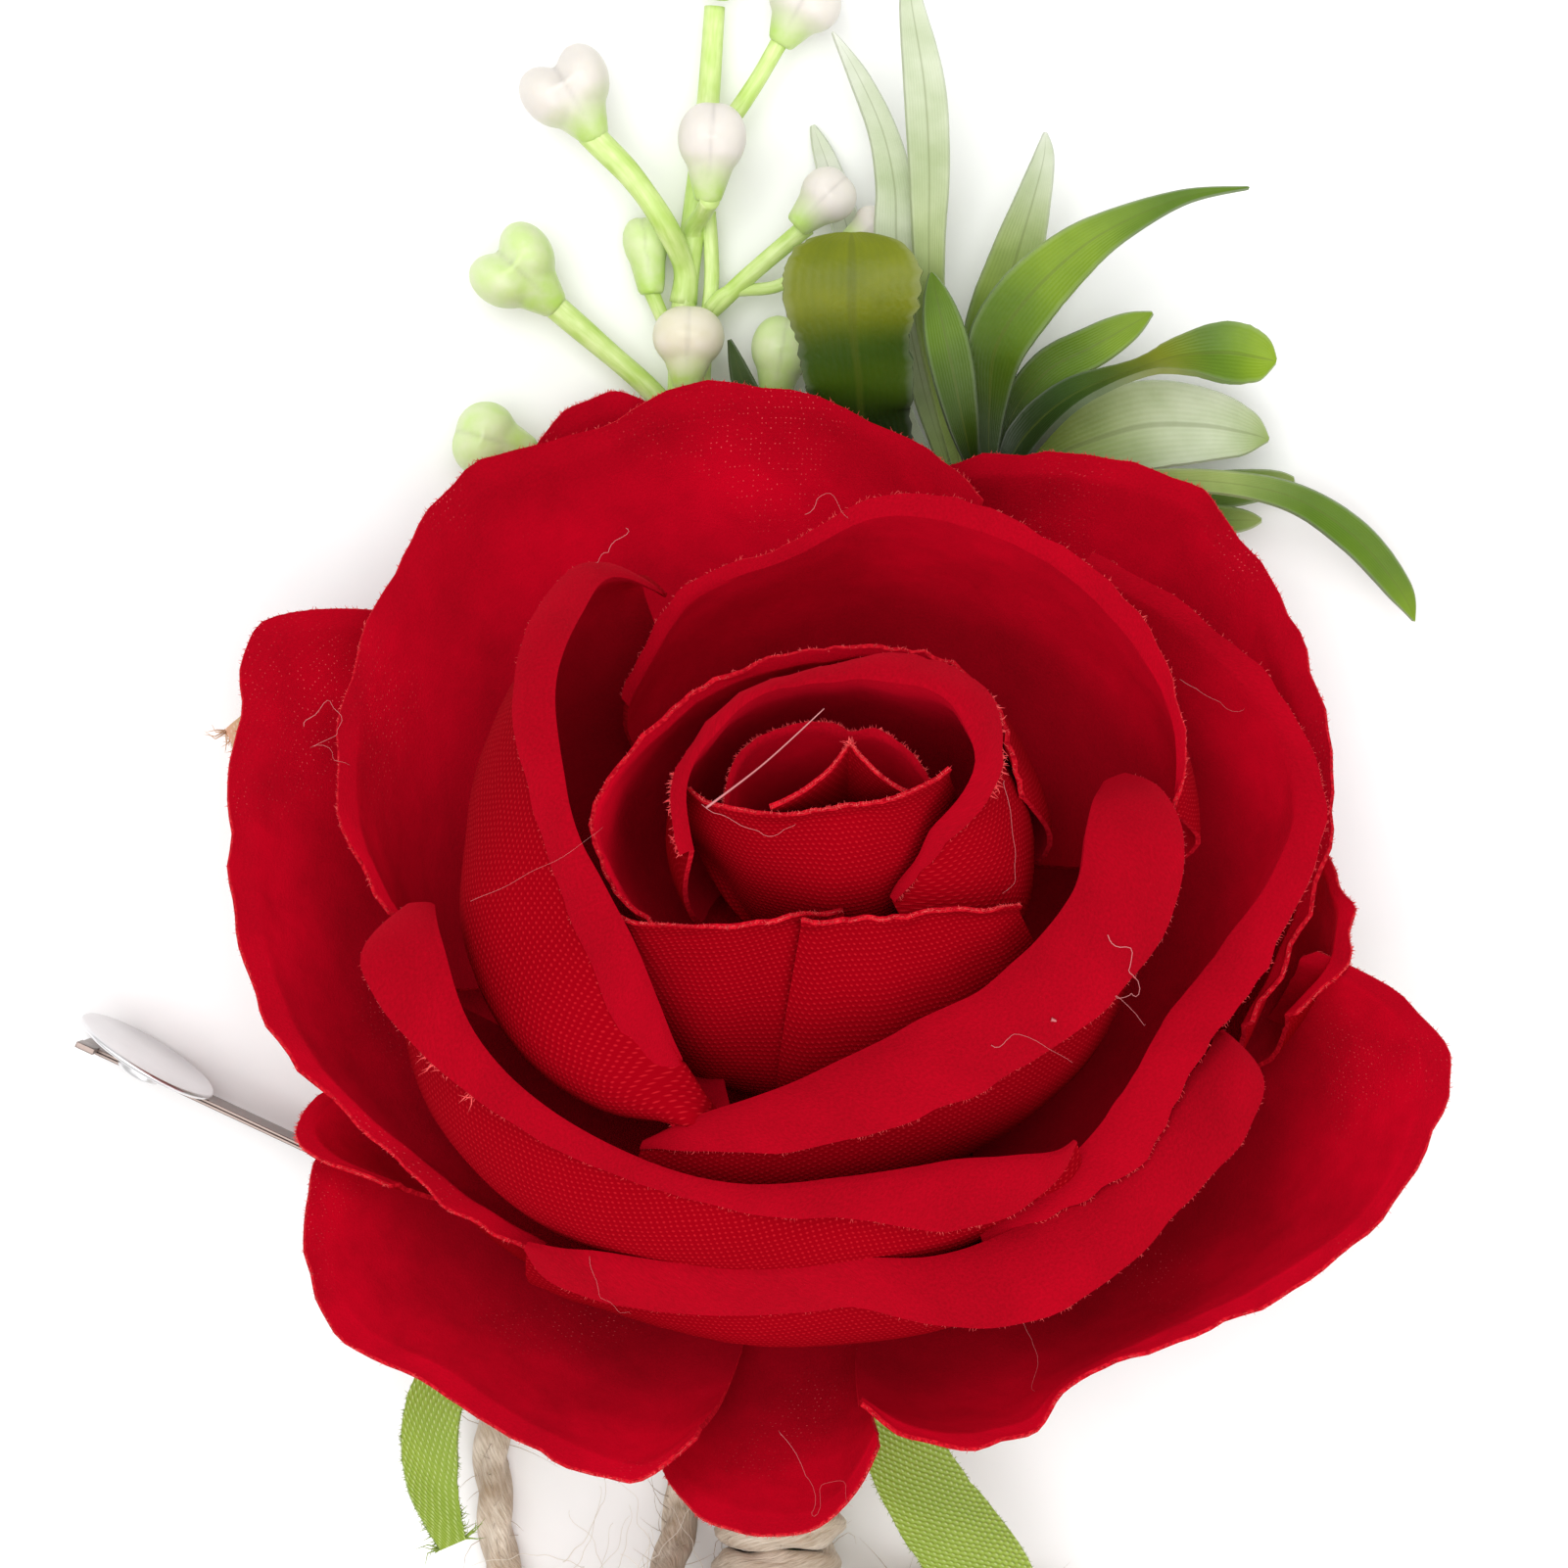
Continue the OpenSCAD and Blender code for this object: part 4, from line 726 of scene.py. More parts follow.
petal("petal_guard_low", 0.10, 0.20, [
    [229, 0.66, 0.758, 0.464, 0.768, 0.452],
    [233, 0.655, 0.733, 0.482, 0.778, 0.430],
    [240, 0.64, 0.690, 0.49, 0.760, 0.42],
    [256, 0.625, 0.645, 0.49, 0.695, 0.412],
    [272, 0.61, 0.612, 0.49, 0.668, 0.415],
    [284, 0.605, 0.615, 0.488, 0.730, 0.43],
    [296, 0.605, 0.610, 0.487, 0.772, 0.442],
    [308, 0.605, 0.608, 0.485, 0.758, 0.452],
    [320, 0.605, 0.608, 0.485, 0.752, 0.458],
    [331, 0.61, 0.615, 0.488, 0.765, 0.468],
    [338, 0.625, 0.635, 0.478, 0.752, 0.475],
    [343, 0.64, 0.650, 0.455, 0.668, 0.47]])

# ---- Petals: outer ring ----
# Seven wide petals spread flat round the rose, velvet side up, their rims a little curled.

petal("petal_top_left", 0.10, 0.25, [
    [72, 0.62, 0.780, 0.55, 0.810, 0.58],
    [84, 0.63, 0.880, 0.55, 0.925, 0.583],
    [102, 0.64, 1.000, 0.525, 1.055, 0.557],
    [115, 0.64, 0.970, 0.525, 1.020, 0.557],
    [127, 0.64, 0.995, 0.535, 1.055, 0.57],
    [140, 0.64, 0.925, 0.555, 0.975, 0.583],
    [155, 0.64, 0.865, 0.555, 0.910, 0.58],
    [168, 0.65, 0.800, 0.525, 0.845, 0.548],
    [180, 0.66, 0.710, 0.50, 0.740, 0.525]], lip=0.4)
petal("petal_top_right", 0.06, 0.15, [
    [-12, 0.61, 0.680, 0.385, 0.700, 0.41],
    [0, 0.64, 0.740, 0.435, 0.770, 0.462],
    [14, 0.67, 0.815, 0.475, 0.860, 0.50],
    [30, 0.69, 0.880, 0.50, 0.930, 0.528],
    [45, 0.69, 0.950, 0.50, 1.000, 0.528],
    [54, 0.69, 0.990, 0.50, 1.040, 0.528],
    [68, 0.68, 0.930, 0.50, 0.975, 0.527],
    [81, 0.68, 0.880, 0.44, 0.920, 0.465]], lip=0.4)
petal("petal_left", 0.055, 0.165, [
    [142, 0.68, 0.920, 0.465, 0.970, 0.495],
    [149, 0.69, 1.080, 0.455, 1.145, 0.48],
    [158, 0.69, 1.040, 0.45, 1.090, 0.475],
    [170, 0.70, 0.980, 0.445, 1.030, 0.472],
    [182, 0.70, 0.940, 0.44, 0.985, 0.468],
    [194, 0.69, 0.885, 0.42, 0.930, 0.445],
    [208, 0.67, 0.795, 0.42, 0.840, 0.44],
    [219, 0.66, 0.745, 0.40, 0.795, 0.422],
    [228, 0.64, 0.700, 0.35, 0.742, 0.37]], lip=0.4)
petal("petal_low_left", -0.045, -0.02, [
    [199, 0.64, 0.880, 0.175, 0.920, 0.195],
    [209, 0.65, 0.955, 0.22, 1.000, 0.245],
    [218, 0.64, 0.990, 0.235, 1.040, 0.26],
    [228, 0.64, 0.935, 0.225, 0.985, 0.248],
    [240, 0.63, 0.920, 0.20, 0.965, 0.22],
    [249, 0.61, 0.895, 0.17, 0.940, 0.195],
    [254, 0.60, 0.800, 0.18, 0.830, 0.20]], lip=0.4)
petal("petal_low", -0.085, -0.075, [
    [247, 0.57, 0.740, -0.01, 0.780, 0.003],
    [254, 0.60, 0.860, 0.06, 0.905, 0.075],
    [262, 0.60, 0.900, 0.10, 0.945, 0.115],
    [269, 0.59, 0.870, 0.095, 0.915, 0.11],
    [275, 0.57, 0.740, 0.09, 0.780, 0.105]], lip=0.4)
petal("petal_low_right", -0.045, 0.0, [
    [273, 0.60, 0.720, 0.18, 0.750, 0.195],
    [281, 0.61, 0.790, 0.175, 0.830, 0.195],
    [291, 0.62, 0.820, 0.18, 0.860, 0.198],
    [299, 0.62, 0.790, 0.20, 0.820, 0.225],
    [310, 0.64, 0.820, 0.24, 0.860, 0.265],
    [322, 0.66, 0.890, 0.27, 0.940, 0.295],
    [334, 0.67, 0.970, 0.31, 1.015, 0.335],
    [347, 0.67, 0.985, 0.35, 1.035, 0.375],
    [354, 0.66, 0.920, 0.355, 0.960, 0.38],
    [361, 0.655, 0.770, 0.33, 0.800, 0.355]], lip=0.4)
petal("petal_right", 0.0, 0.08, [
    [-7, 0.67, 0.750, 0.32, 0.770, 0.34],
    [-1, 0.70, 0.815, 0.36, 0.850, 0.375],
    [4, 0.70, 0.835, 0.37, 0.865, 0.385],
    [9, 0.70, 0.840, 0.345, 0.860, 0.36],
    [14, 0.70, 0.840, 0.32, 0.860, 0.34]], lip=0.4)

# ---- Petals: tucked behind ----
# Two small petals that fill the ring from behind, seen only as a tip at the top and left.

petal("petal_tuck_top", 0.02, 0.17, [
    [104, 0.66, 0.980, 0.42, 1.020, 0.44],
    [108, 0.68, 1.070, 0.435, 1.120, 0.455],
    [112, 0.68, 1.100, 0.44, 1.150, 0.46],
    [117, 0.68, 1.080, 0.435, 1.120, 0.455],
    [123, 0.66, 0.980, 0.42, 1.020, 0.44]], lip=0.4)
petal("petal_tuck_left", 0.0, 0.065, [
    [191, 0.65, 0.780, 0.185, 0.810, 0.20],
    [194, 0.67, 0.855, 0.245, 0.895, 0.26],
    [198, 0.68, 0.905, 0.28, 0.945, 0.292],
    [202, 0.67, 0.880, 0.272, 0.920, 0.287],
    [207, 0.65, 0.800, 0.245, 0.830, 0.26]], lip=0.4)

# ---- Calyx ----
# The green star under the rose: a moulded ring pushed up the post's foot, and five
# pointed leaves cut from woven ribbon, their edges a little frayed.

ribbon = woven_finish("green_ribbon", 38, 0.00037, (240.0, 3.0), (116, 142, 28), (144, 168, 48), (206, 222, 152),
                      0.55, (0.5, 0.00006), Roughness=0.5, Sheen_Weight=0.1)
# The left leaf's ribbon is painted peach and pink: the red of the petals reflected onto it, painted into its colour
ribbon_painted_red_reflection = woven_finish("ribbon_painted_red_reflection", 38, 0.00037, (420.0, 3.0), (226, 160, 140), (196, 186, 128),
                            (240, 216, 196), 0.5, Roughness=0.7)


ribbon_wall = 0.0003


def calyx_leaf(name, rows, finish=ribbon):
    """One ribbon leaf. A row is turn, out, up and half width, as shares of the rose."""
    def centre(s):
        turn, out, up, _ = smooth_at(rows, s * (len(rows) - 1))
        turn = math.radians(turn)
        return Vector((out * rose_r * math.cos(turn), out * rose_r * math.sin(turn), up * rose_h))

    def place(across, s):
        way = centre(min(s + 0.02, 1)) - centre(max(s - 0.02, 0))
        side = Vector((way.y, -way.x, 0)).normalized()
        half = smooth_at(rows, s * (len(rows) - 1))[3] * rose_r
        edge = 2 * across - 1
        half *= 1 + 0.05 * noise.noise(Vector((s * 40, edge * 3, rows[0][0])))
        q = centre(s) + side * half * edge + Vector((0, 0, 0.35 * (edge * edge - 0.4) * math.sin(6 * s + rows[0][0])))
        return in_rose(q.x, q.y, q.z)

    piece, flat, area = cut_from_cloth(name, 12, 44, place, ribbon_wall, (finish, finish, finish))
    for side in (0, 1):
        fray(piece, lambda share: (place(side, share), (place(side, share) - place(0.5, share)).normalized()),
             [(0.9, 1, 16, 0.0009, 0.00008), (0.985, 1, 7, 0.002, 0.00012)], finish)
    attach(piece, "root")
    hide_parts("calyx")


bpy.ops.object.select_all(action="DESELECT")
bpy.ops.mesh.primitive_torus_add(major_segments=48, minor_segments=16, major_radius=0.00509, minor_radius=0.00128,
                                 location=in_rose(0, 0, -4.6), rotation=(-rose_lean, 0, 0))
calyx_ring = bpy.context.object
calyx_ring.name = calyx_ring.data.name = "calyx_ring"
bpy.ops.object.transform_apply(location=True, rotation=True, scale=True)
bpy.ops.object.shade_smooth()
calyx_ring.data.materials.append(tape)
calyx_ring.data.uv_layers[0].name = "lay"
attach(calyx_ring, "root")
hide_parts("calyx")

calyx_leaf("calyx_leaf_left", [
    (155, 0.15, -0.125, 0.06), (155, 0.40, -0.10, 0.08), (155, 0.70, -0.01, 0.10),
    (154, 1.00, 0.10, 0.08), (151, 1.19, 0.17, 0.035)], ribbon_painted_red_reflection)
calyx_leaf("calyx_leaf_low_left", [
    (217, 0.15, -0.125, 0.06), (215, 0.40, -0.15, 0.07), (215, 0.68, -0.19, 0.065),
    (218, 0.86, -0.24, 0.05), (223, 0.95, -0.33, 0.046), (228.5, 0.995, -0.42, 0.024)])
calyx_leaf("calyx_leaf_low_right", [
    (277, 0.15, -0.125, 0.06), (278, 0.38, -0.20, 0.07), (281, 0.61, -0.33, 0.07),
    (288, 0.82, -0.44, 0.08), (293, 0.98, -0.52, 0.03)])
calyx_leaf("calyx_leaf_right", [
    (4, 0.15, -0.125, 0.06), (4, 0.40, -0.11, 0.08), (4, 0.70, -0.09, 0.10),
    (4, 0.86, -0.07, 0.07), (5, 0.98, -0.05, 0.02)])
calyx_leaf("calyx_leaf_top", [
    (98, 0.15, -0.125, 0.06), (98, 0.24, -0.11, 0.07), (98, 0.33, -0.09, 0.06),
    (98, 0.40, -0.07, 0.02)])

# ---- Clip ----
# The sprung metal clip behind the rose: two thin polished blades on edge, one turned up
# at its end, and a round pressed pad riveted above them. One plain piece.

clip_at, clip_turn, clip_l, clip_w = Vector((-7.6, -19.3, 0.4)), math.radians(155), 46.4, 5.0

steel, tree, shader = finish_named("polished_clip")
here = put(tree, "ShaderNodeTexCoord")["Object"]
rubbed = clouds(tree, here, 900.0, 4.0)
feed(tree, shader, Base_Color=between(tree, clouds(tree, here, 90.0), (206, 204, 204), (242, 242, 244)),
     Roughness=spread(tree, rubbed, 0.0, 1.0, 0.24, 0.42), Normal=relief(tree, rubbed, 0.06, 0.0001), Metallic=1.0)

# The polished blades are painted a darker warm brown-grey: a painted reflection of the red rose beside them
blade_steel_painted_reflection, tree, shader = finish_named("clip_blade")
drawn = clouds(tree, put(tree, "ShaderNodeTexCoord")["Object"], 6000.0)
feed(tree, shader, Base_Color=between(tree, drawn, (122, 108, 102), (146, 132, 126)),
     Roughness=spread(tree, drawn, 0.0, 1.0, 0.28, 0.38), Metallic=1.0)


def on_clip(x, y, z):
    """A place along, across and up the clip's bar, in millimetres, as a point of the pin."""
    c, s = math.cos(clip_turn), math.sin(clip_turn)
    return (clip_at + Vector((x * c - y * s, x * s + y * c, z))) * 0.001


def clip_bar(x, y, z, long, wide, high):
    """A flat bar of the clip, its long edges rounded."""
    bpy.ops.mesh.primitive_cube_add(size=1, location=on_clip(x + long / 2, y, z + high / 2),
                                    rotation=(0, 0, clip_turn))
    bar = bpy.context.object
    bar.scale = (long * 0.001, wide * 0.001, high * 0.001)
    bpy.ops.object.transform_apply(location=False, rotation=False, scale=True)
    edges = bar.modifiers.new("edges", "BEVEL")
    edges.width, edges.segments = 0.00005, 3
    bpy.ops.object.modifier_apply(modifier="edges")
    return bar


bpy.ops.object.select_all(action="DESELECT")
clip_parts = [clip_bar(0, -0.105, 0, clip_l, 0.2, clip_w), clip_bar(0, 0.105, 0, clip_l, 0.2, clip_w),
              clip_bar(0, 0, 0.2, 4.0, 0.5, clip_w - 0.4),
              clip_bar(clip_l - 1.3, -0.1, clip_w - 0.5, 1.3, 0.4, 2.8)]
for part in clip_parts:
    part.data.materials.append(blade_steel_painted_reflection)
pad_lean, pad_r = math.radians(7), 0.005
pad_turn = Matrix.Rotation(clip_turn - math.radians(7), 3, "Z") @ Matrix.Rotation(math.radians(90) - pad_lean, 3, "X")
pad_foot = Vector(on_clip(0.908 * clip_l, 0, clip_w + 0.1))
for radius, depth, off in ((pad_r, 0.0004, 1.2), (0.0015, 0.0014, 0.5)):
    bpy.ops.mesh.primitive_cylinder_add(vertices=64, radius=radius, depth=depth,
                                        location=pad_foot + pad_turn @ Vector((0, 0, off * 0.001)),
                                        rotation=pad_turn.to_euler())
    disc = bpy.context.object
    edges = disc.modifiers.new("edges", "BEVEL")
    edges.width, edges.segments, edges.limit_method = 0.0002, 3, "ANGLE"
    bpy.ops.object.modifier_apply(modifier="edges")
    disc.data.materials.append(steel)
    clip_parts.append(disc)
bpy.ops.object.select_all(action="DESELECT")
for part in clip_parts:
    part.select_set(True)
bpy.context.view_layer.objects.active = clip_parts[0]
bpy.ops.object.join()
clip = bpy.context.object
clip.name = clip.data.name = "clip_metal"
bpy.ops.object.transform_apply(location=True, rotation=True, scale=True)
bpy.ops.object.shade_smooth_by_angle(angle=math.radians(40))
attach(clip, "root")
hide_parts("pin_clip")

# ---- Bud sprig: stalks ----
# A moulded plastic sprig: one main stem with side stalks, each swelling to a trumpet
# where its bud is pushed on.

stalks = [
    [[(-5.4, -22.0, 1.5), (-7.0, -12, 1.5), (-9.2, 5, 1.5), (-10, 22, 1.4), (-10.2, 38, 1.3),
      (-10, 48.5, 1.4), (-9.2, 55.5, 1.7), (-8.4, 62, 1.9), (-7.9, 69, 2.0)],
     (1, 1, 1, 0.95, 0.85, 0.85, 0.75, 0.7, 0.6)],
    [[(-8.7, 30.0, 1.3), (-8.8, 38.0, 1.3), (-8.6, 46.0, 1.4), (-8.1, 51.0, 1.6), (-8.3, 55.4, 1.8)],
     (0.42, 0.42, 0.42, 0.42, 0.4)],
    [[(-10.0, 49.4, 1.4), (-9.9, 51.6, 2.0), (-11.2, 54.4, 4.2), (-13.3, 57.4, 4.5), (-15.4, 59.6, 4.2)],
     (0.6, 0.6, 0.66, 0.65, 0.7)],
    [[(-10.2, 39.2, 1.3), (-10.2, 41, 1.6), (-12.1, 43.5, 2.0), (-15.4, 46.4, 2.6), (-18.0, 48.6, 3.2)],
     (0.6, 0.6, 0.6, 0.6, 0.65)],
    [[(-10.0, 45.4, 1.4), (-9.8, 47.3, 1.8), (-7.9, 49, 2.2), (-5.6, 51.1, 2.8), (-2.6, 53.6, 3.4)],
     (0.5, 0.5, 0.5, 0.5, 0.5)],
    [[(-8.9, 57.6, 1.8), (-8.7, 59.6, 2.0), (-6.9, 61.4, 2.4), (-5.2, 63.8, 2.8), (-3.9, 66.0, 3.0)],
     (0.5, 0.5, 0.5, 0.48, 0.45)],
    [[(-9.4, 53.8, 1.7), (-9.3, 54.4, 2.4), (-8.7, 55.0, 4.0), (-8.4, 55.4, 5.2)], (0.5, 0.5, 0.5, 0.5)],
    [[(-10.2, 42.0, 1.8), (-10, 42.2, 3.2), (-9.8, 43.0, 4.6)], (0.4, 0.4, 0.4)],
    [[(-10.1, 43.8, 1.4), (-10.1, 45.6, 1.4), (-11.2, 48.0, 1.6), (-11.9, 49.6, 1.7)], (0.4, 0.4, 0.4, 0.4)],
    [[(-10.1, 37.8, 1.3), (-10.1, 39.5, 1.6), (-13.4, 38.6, 1.6), (-17.0, 38.6, 1.9), (-19.6, 39.2, 2.4)],
     (0.4, 0.4, 0.4, 0.4, 0.4)],
    [[(-10.1, 35.8, 1.3), (-10.1, 37.5, 1.6), (-7.4, 38.6, 1.5), (-5.2, 40.6, 1.8), (-4.2, 42.3, 2.3)],
     (0.4, 0.4, 0.4, 0.4, 0.4)],
    [[(-8.2, 48.8, 2.2), (-7.0, 50.0, 2.6), (-3.8, 50.4, 2.4), (-1.0, 52.0, 2.6), (0.7, 53.0, 2.8)],
     (0.35, 0.35, 0.35, 0.35, 0.35)],
]

stalk_green = fibrous("stalk_plastic", 0, 1500.0, (176, 208, 96), (222, 238, 168), 0.25, 0.0002, Roughness=0.42)

stalk_tubes = []
for number, (points, shares) in enumerate(stalks):
    side_stalk = number > 1
    if side_stalk:
        end, before = Vector(points[-1]), Vector(points[-2])
        points = points + [tuple(end + (end - before).normalized() * 1.1)]
        shares = shares + shares[-1:]
    line = even_route(points, 0.0004)

    def swell(share, turn, shares=shares, side_stalk=side_stalk, number=number):
        thick = smooth_at([(s,) for s in shares], share * (len(shares) - 1))[0] * 0.0012
        flare = 0.10 * max(0, (share - 0.5) / 0.5) ** 2 if side_stalk else 0
        spread_at_root = 0.3 * max(0, 1 - share / 0.2) if side_stalk else 0
        return thick * (0.96 + flare + spread_at_root + (0.05 * math.cos(2 * turn) if number else 0.0))
    stalk_tubes.append(tube(line, swell, 16))
stalk_piece = tube_piece("bud_stalks", stalk_tubes, 0.006, stalk_green)
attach(stalk_piece, "root")
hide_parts("berry_stem")

# ---- Bud sprig: buds ----
# Soft plastic buds, each of two closed lobes that meet in a fine seam, milky white or pale
# green and running to yellow-green at the pointed foot.

bud_skin, tree, shader = finish_named("bud_plastic")
own = put(tree, "ShaderNodeVertexColor", {"layer_name": "tint"})[0]
cloudy = clouds(tree, put(tree, "ShaderNodeTexCoord")["Object"], 700.0, 3.0)
veil = spread(tree, cloudy, 0.35, 0.7, 0.0, 0.35)
feed(tree, shader, Base_Color=mixed(tree, veil, own, paint(230, 224, 214)),
     Normal=relief(tree, cloudy, 0.12, 0.0002), Roughness=0.38, Subsurface_Weight=0.25,
     Subsurface_Radius=(0.0012, 0.0011, 0.0008), Subsurface_Scale=1.0)

white, cream, pale_green = paint(220, 214, 206), paint(220, 214, 188), paint(200, 222, 148)
foot_green, bud_size = paint(178, 212, 100), 0.006


def bud(name, foot, turn, rise, long, wide, tip, lobed=0.16, twist=0.0):
    """A bud pushed on its stalk: two lobes and a pointed foot, grown into one skin. turn
    and rise give its axis in degrees, and long and wide its size as shares of 6 mm."""
    long, wide = long * bud_size, wide * bud_size
    axis = (Matrix.Rotation(math.radians(turn), 3, "Z") @ Matrix.Rotation(math.radians(90 - rise), 3, "Y")
            @ Matrix.Rotation(math.radians(twist), 3, "Z"))
    foot = Vector(foot) * 0.001
    bpy.ops.object.select_all(action="DESELECT")
    made, apart = [], lobed * wide / 2
    for way in (-1, 1):
        bpy.ops.mesh.primitive_uv_sphere_add(segments=32, ring_count=20, radius=1,
                                             location=foot + axis @ Vector((0, way * apart, long * 0.62)),
                                             rotation=(axis @ Matrix.Rotation(-way * lobed * 0.7, 3, "X")).to_euler())
        bpy.context.object.scale = (wide * 0.44, wide / 2 - apart, long * 0.38)
        made.append(bpy.context.object)
    bpy.ops.mesh.primitive_cone_add(vertices=32, radius1=0.00086, radius2=wide * 0.47, depth=long * 0.70,
                                    location=foot + axis @ Vector((0, 0, long * 0.31)), rotation=axis.to_euler())
    made.append(bpy.context.object)
    for part in made:
        part.select_set(True)
    bpy.context.view_layer.objects.active = made[0]
    bpy.ops.object.join()
    piece = bpy.context.object
    piece.name = piece.data.name = name + "_moulded"
    bpy.ops.object.transform_apply(location=True, rotation=True, scale=True)
    skin = piece.modifiers.new("skin", "REMESH")
    skin.mode, skin.voxel_size = "VOXEL", 0.00020
    bpy.ops.object.modifier_apply(modifier="skin")
    soften = piece.modifiers.new("soften", "SMOOTH")
    soften.factor, soften.iterations = 0.5, 7
    bpy.ops.object.modifier_apply(modifier="soften")
    bpy.ops.object.shade_smooth()
    tint = piece.data.color_attributes.new("tint", "FLOAT_COLOR", "POINT")
    back = axis.transposed()
    for v in piece.data.vertices:
        local = back @ (v.co - foot)
        up, off = local.z / long, abs(local.y) / (wide * 0.5)
        share = max(0.0, min(1.0, (up - 0.08) / 0.42))
        colour = [a + (b - a) * share ** 0.8 for a, b in zip(foot_green, tip)]
        # Painted shade: the groove where the two lobes meet is painted a little darker, more towards the tip
        seam = 0.16 * math.exp(-(off / 0.06) ** 2) * share
        tint.data[v.index].color = [c * (1 - seam) for c in colour[:3]] + [1.0]
    piece.data.materials.clear()
    piece.data.materials.append(bud_skin)
    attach(piece, "root")
    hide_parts(name)


bud("bud_heart_top", (-15.7, 60.1, 4.2), 121, 0, 1.02, 1.0, white, lobed=0.42)
bud("bud_heart_left", (-18.4, 49.0, 3.4), 137, 4, 1.0, 0.98, pale_green, lobed=0.42)
bud("bud_front", (-8.3, 55.9, 5.6), 86, 8, 1.05, 0.76, white, lobed=0.14)
bud("bud_cream", (-9.7, 43.6, 5.1), 88, 4, 0.88, 0.80, cream, lobed=0.14)
bud("bud_behind", (-12.1, 50.1, 1.75), 97, 0, 0.84, 0.50, pale_green, lobed=0.2)
bud("bud_pair_left", (-2.4, 54.3, 4.1), 44, 4, 0.76, 0.64, white)
bud("bud_pair_right", (1.1, 53.3, 3.0), 32, 2, 0.50, 0.52, white)
bud("bud_green", (-4.0, 42.8, 2.7), 80, 6, 0.94, 0.70, pale_green)
bud("bud_top", (-7.7, 69.5, 2.4), 84, 4, 0.50, 0.50, white)
bud("bud_upper_right", (-3.5, 66.5, 3.2), 60, 4, 0.86, 0.84, white, lobed=0.2)
bud("bud_low_left", (-20.0, 39.4, 2.9), 165, 4, 0.88, 0.84, pale_green, lobed=0.2)

# ---- Leaf sprig: stem ----
# The leaf sprig's moulded stem and the short root that its leaves spring from. They stay
# as the solids show them, in leaf plastic.

hub = Vector((9.0, 36.5, 0))
leaf_reach, leaf_w, leaf_wall, tip_from = 33.0, 9.4, 0.00045, 0.86

leaf_green, tree, shader = finish_named("leaf_plastic")
own = put(tree, "ShaderNodeVertexColor", {"layer_name": "tint"})[0]
here = put(tree, "ShaderNodeTexCoord")["Object"]
across = put(tree, "ShaderNodeSeparateXYZ", n0=put(tree, "ShaderNodeUVMap", {"uv_map": "blade"})[0])[0]
from_rib = worked_out(tree, "ABSOLUTE", across)
vein = worked_out(tree, "SINE", worked_out(tree, "MULTIPLY", from_rib, 46.0))
fleck = clouds(tree, here, 2600.0)
mottle = spread(tree, clouds(tree, here, 260.0, 4.0), 0.3, 0.7, 0.0, 0.5)
tone = mixed(tree, mottle, own, paint(170, 190, 130), "MULTIPLY")
tone = mixed(tree, spread(tree, vein, -1.0, 1.0, 0.0, 0.05), tone, paint(60, 84, 18))
rib = worked_out(tree, "MULTIPLY", spread(tree, from_rib, 0.035, 0.10, 1.0, 0.0, smooth=True), 0.32)
high = put(tree, "ShaderNodeMath", {"operation": "MULTIPLY_ADD"}, n0=vein, n1=0.25, n2=fleck)[0]
feed(tree, shader, Base_Color=mixed(tree, rib, tone, paint(84, 92, 24)),
     Roughness=spread(tree, fleck, 0.0, 1.0, 0.38, 0.55), Normal=relief(tree, high, 0.25, 0.0001),
     Specular_IOR_Level=0.3)

root_green = clouded_finish("leaf_root_plastic", (56, 84, 26), (112, 142, 50), 500.0, 4.0, height=(0.3, 0.0002),
                            Roughness=0.45)
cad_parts["leaf_stem"].material_slots[0].material = root_green

# ---- Leaf sprig: leaves ----
# Thin moulded blades with a fold down the middle and fine veins along them, each a
# separate leaf pushed into the root, turning its own way.

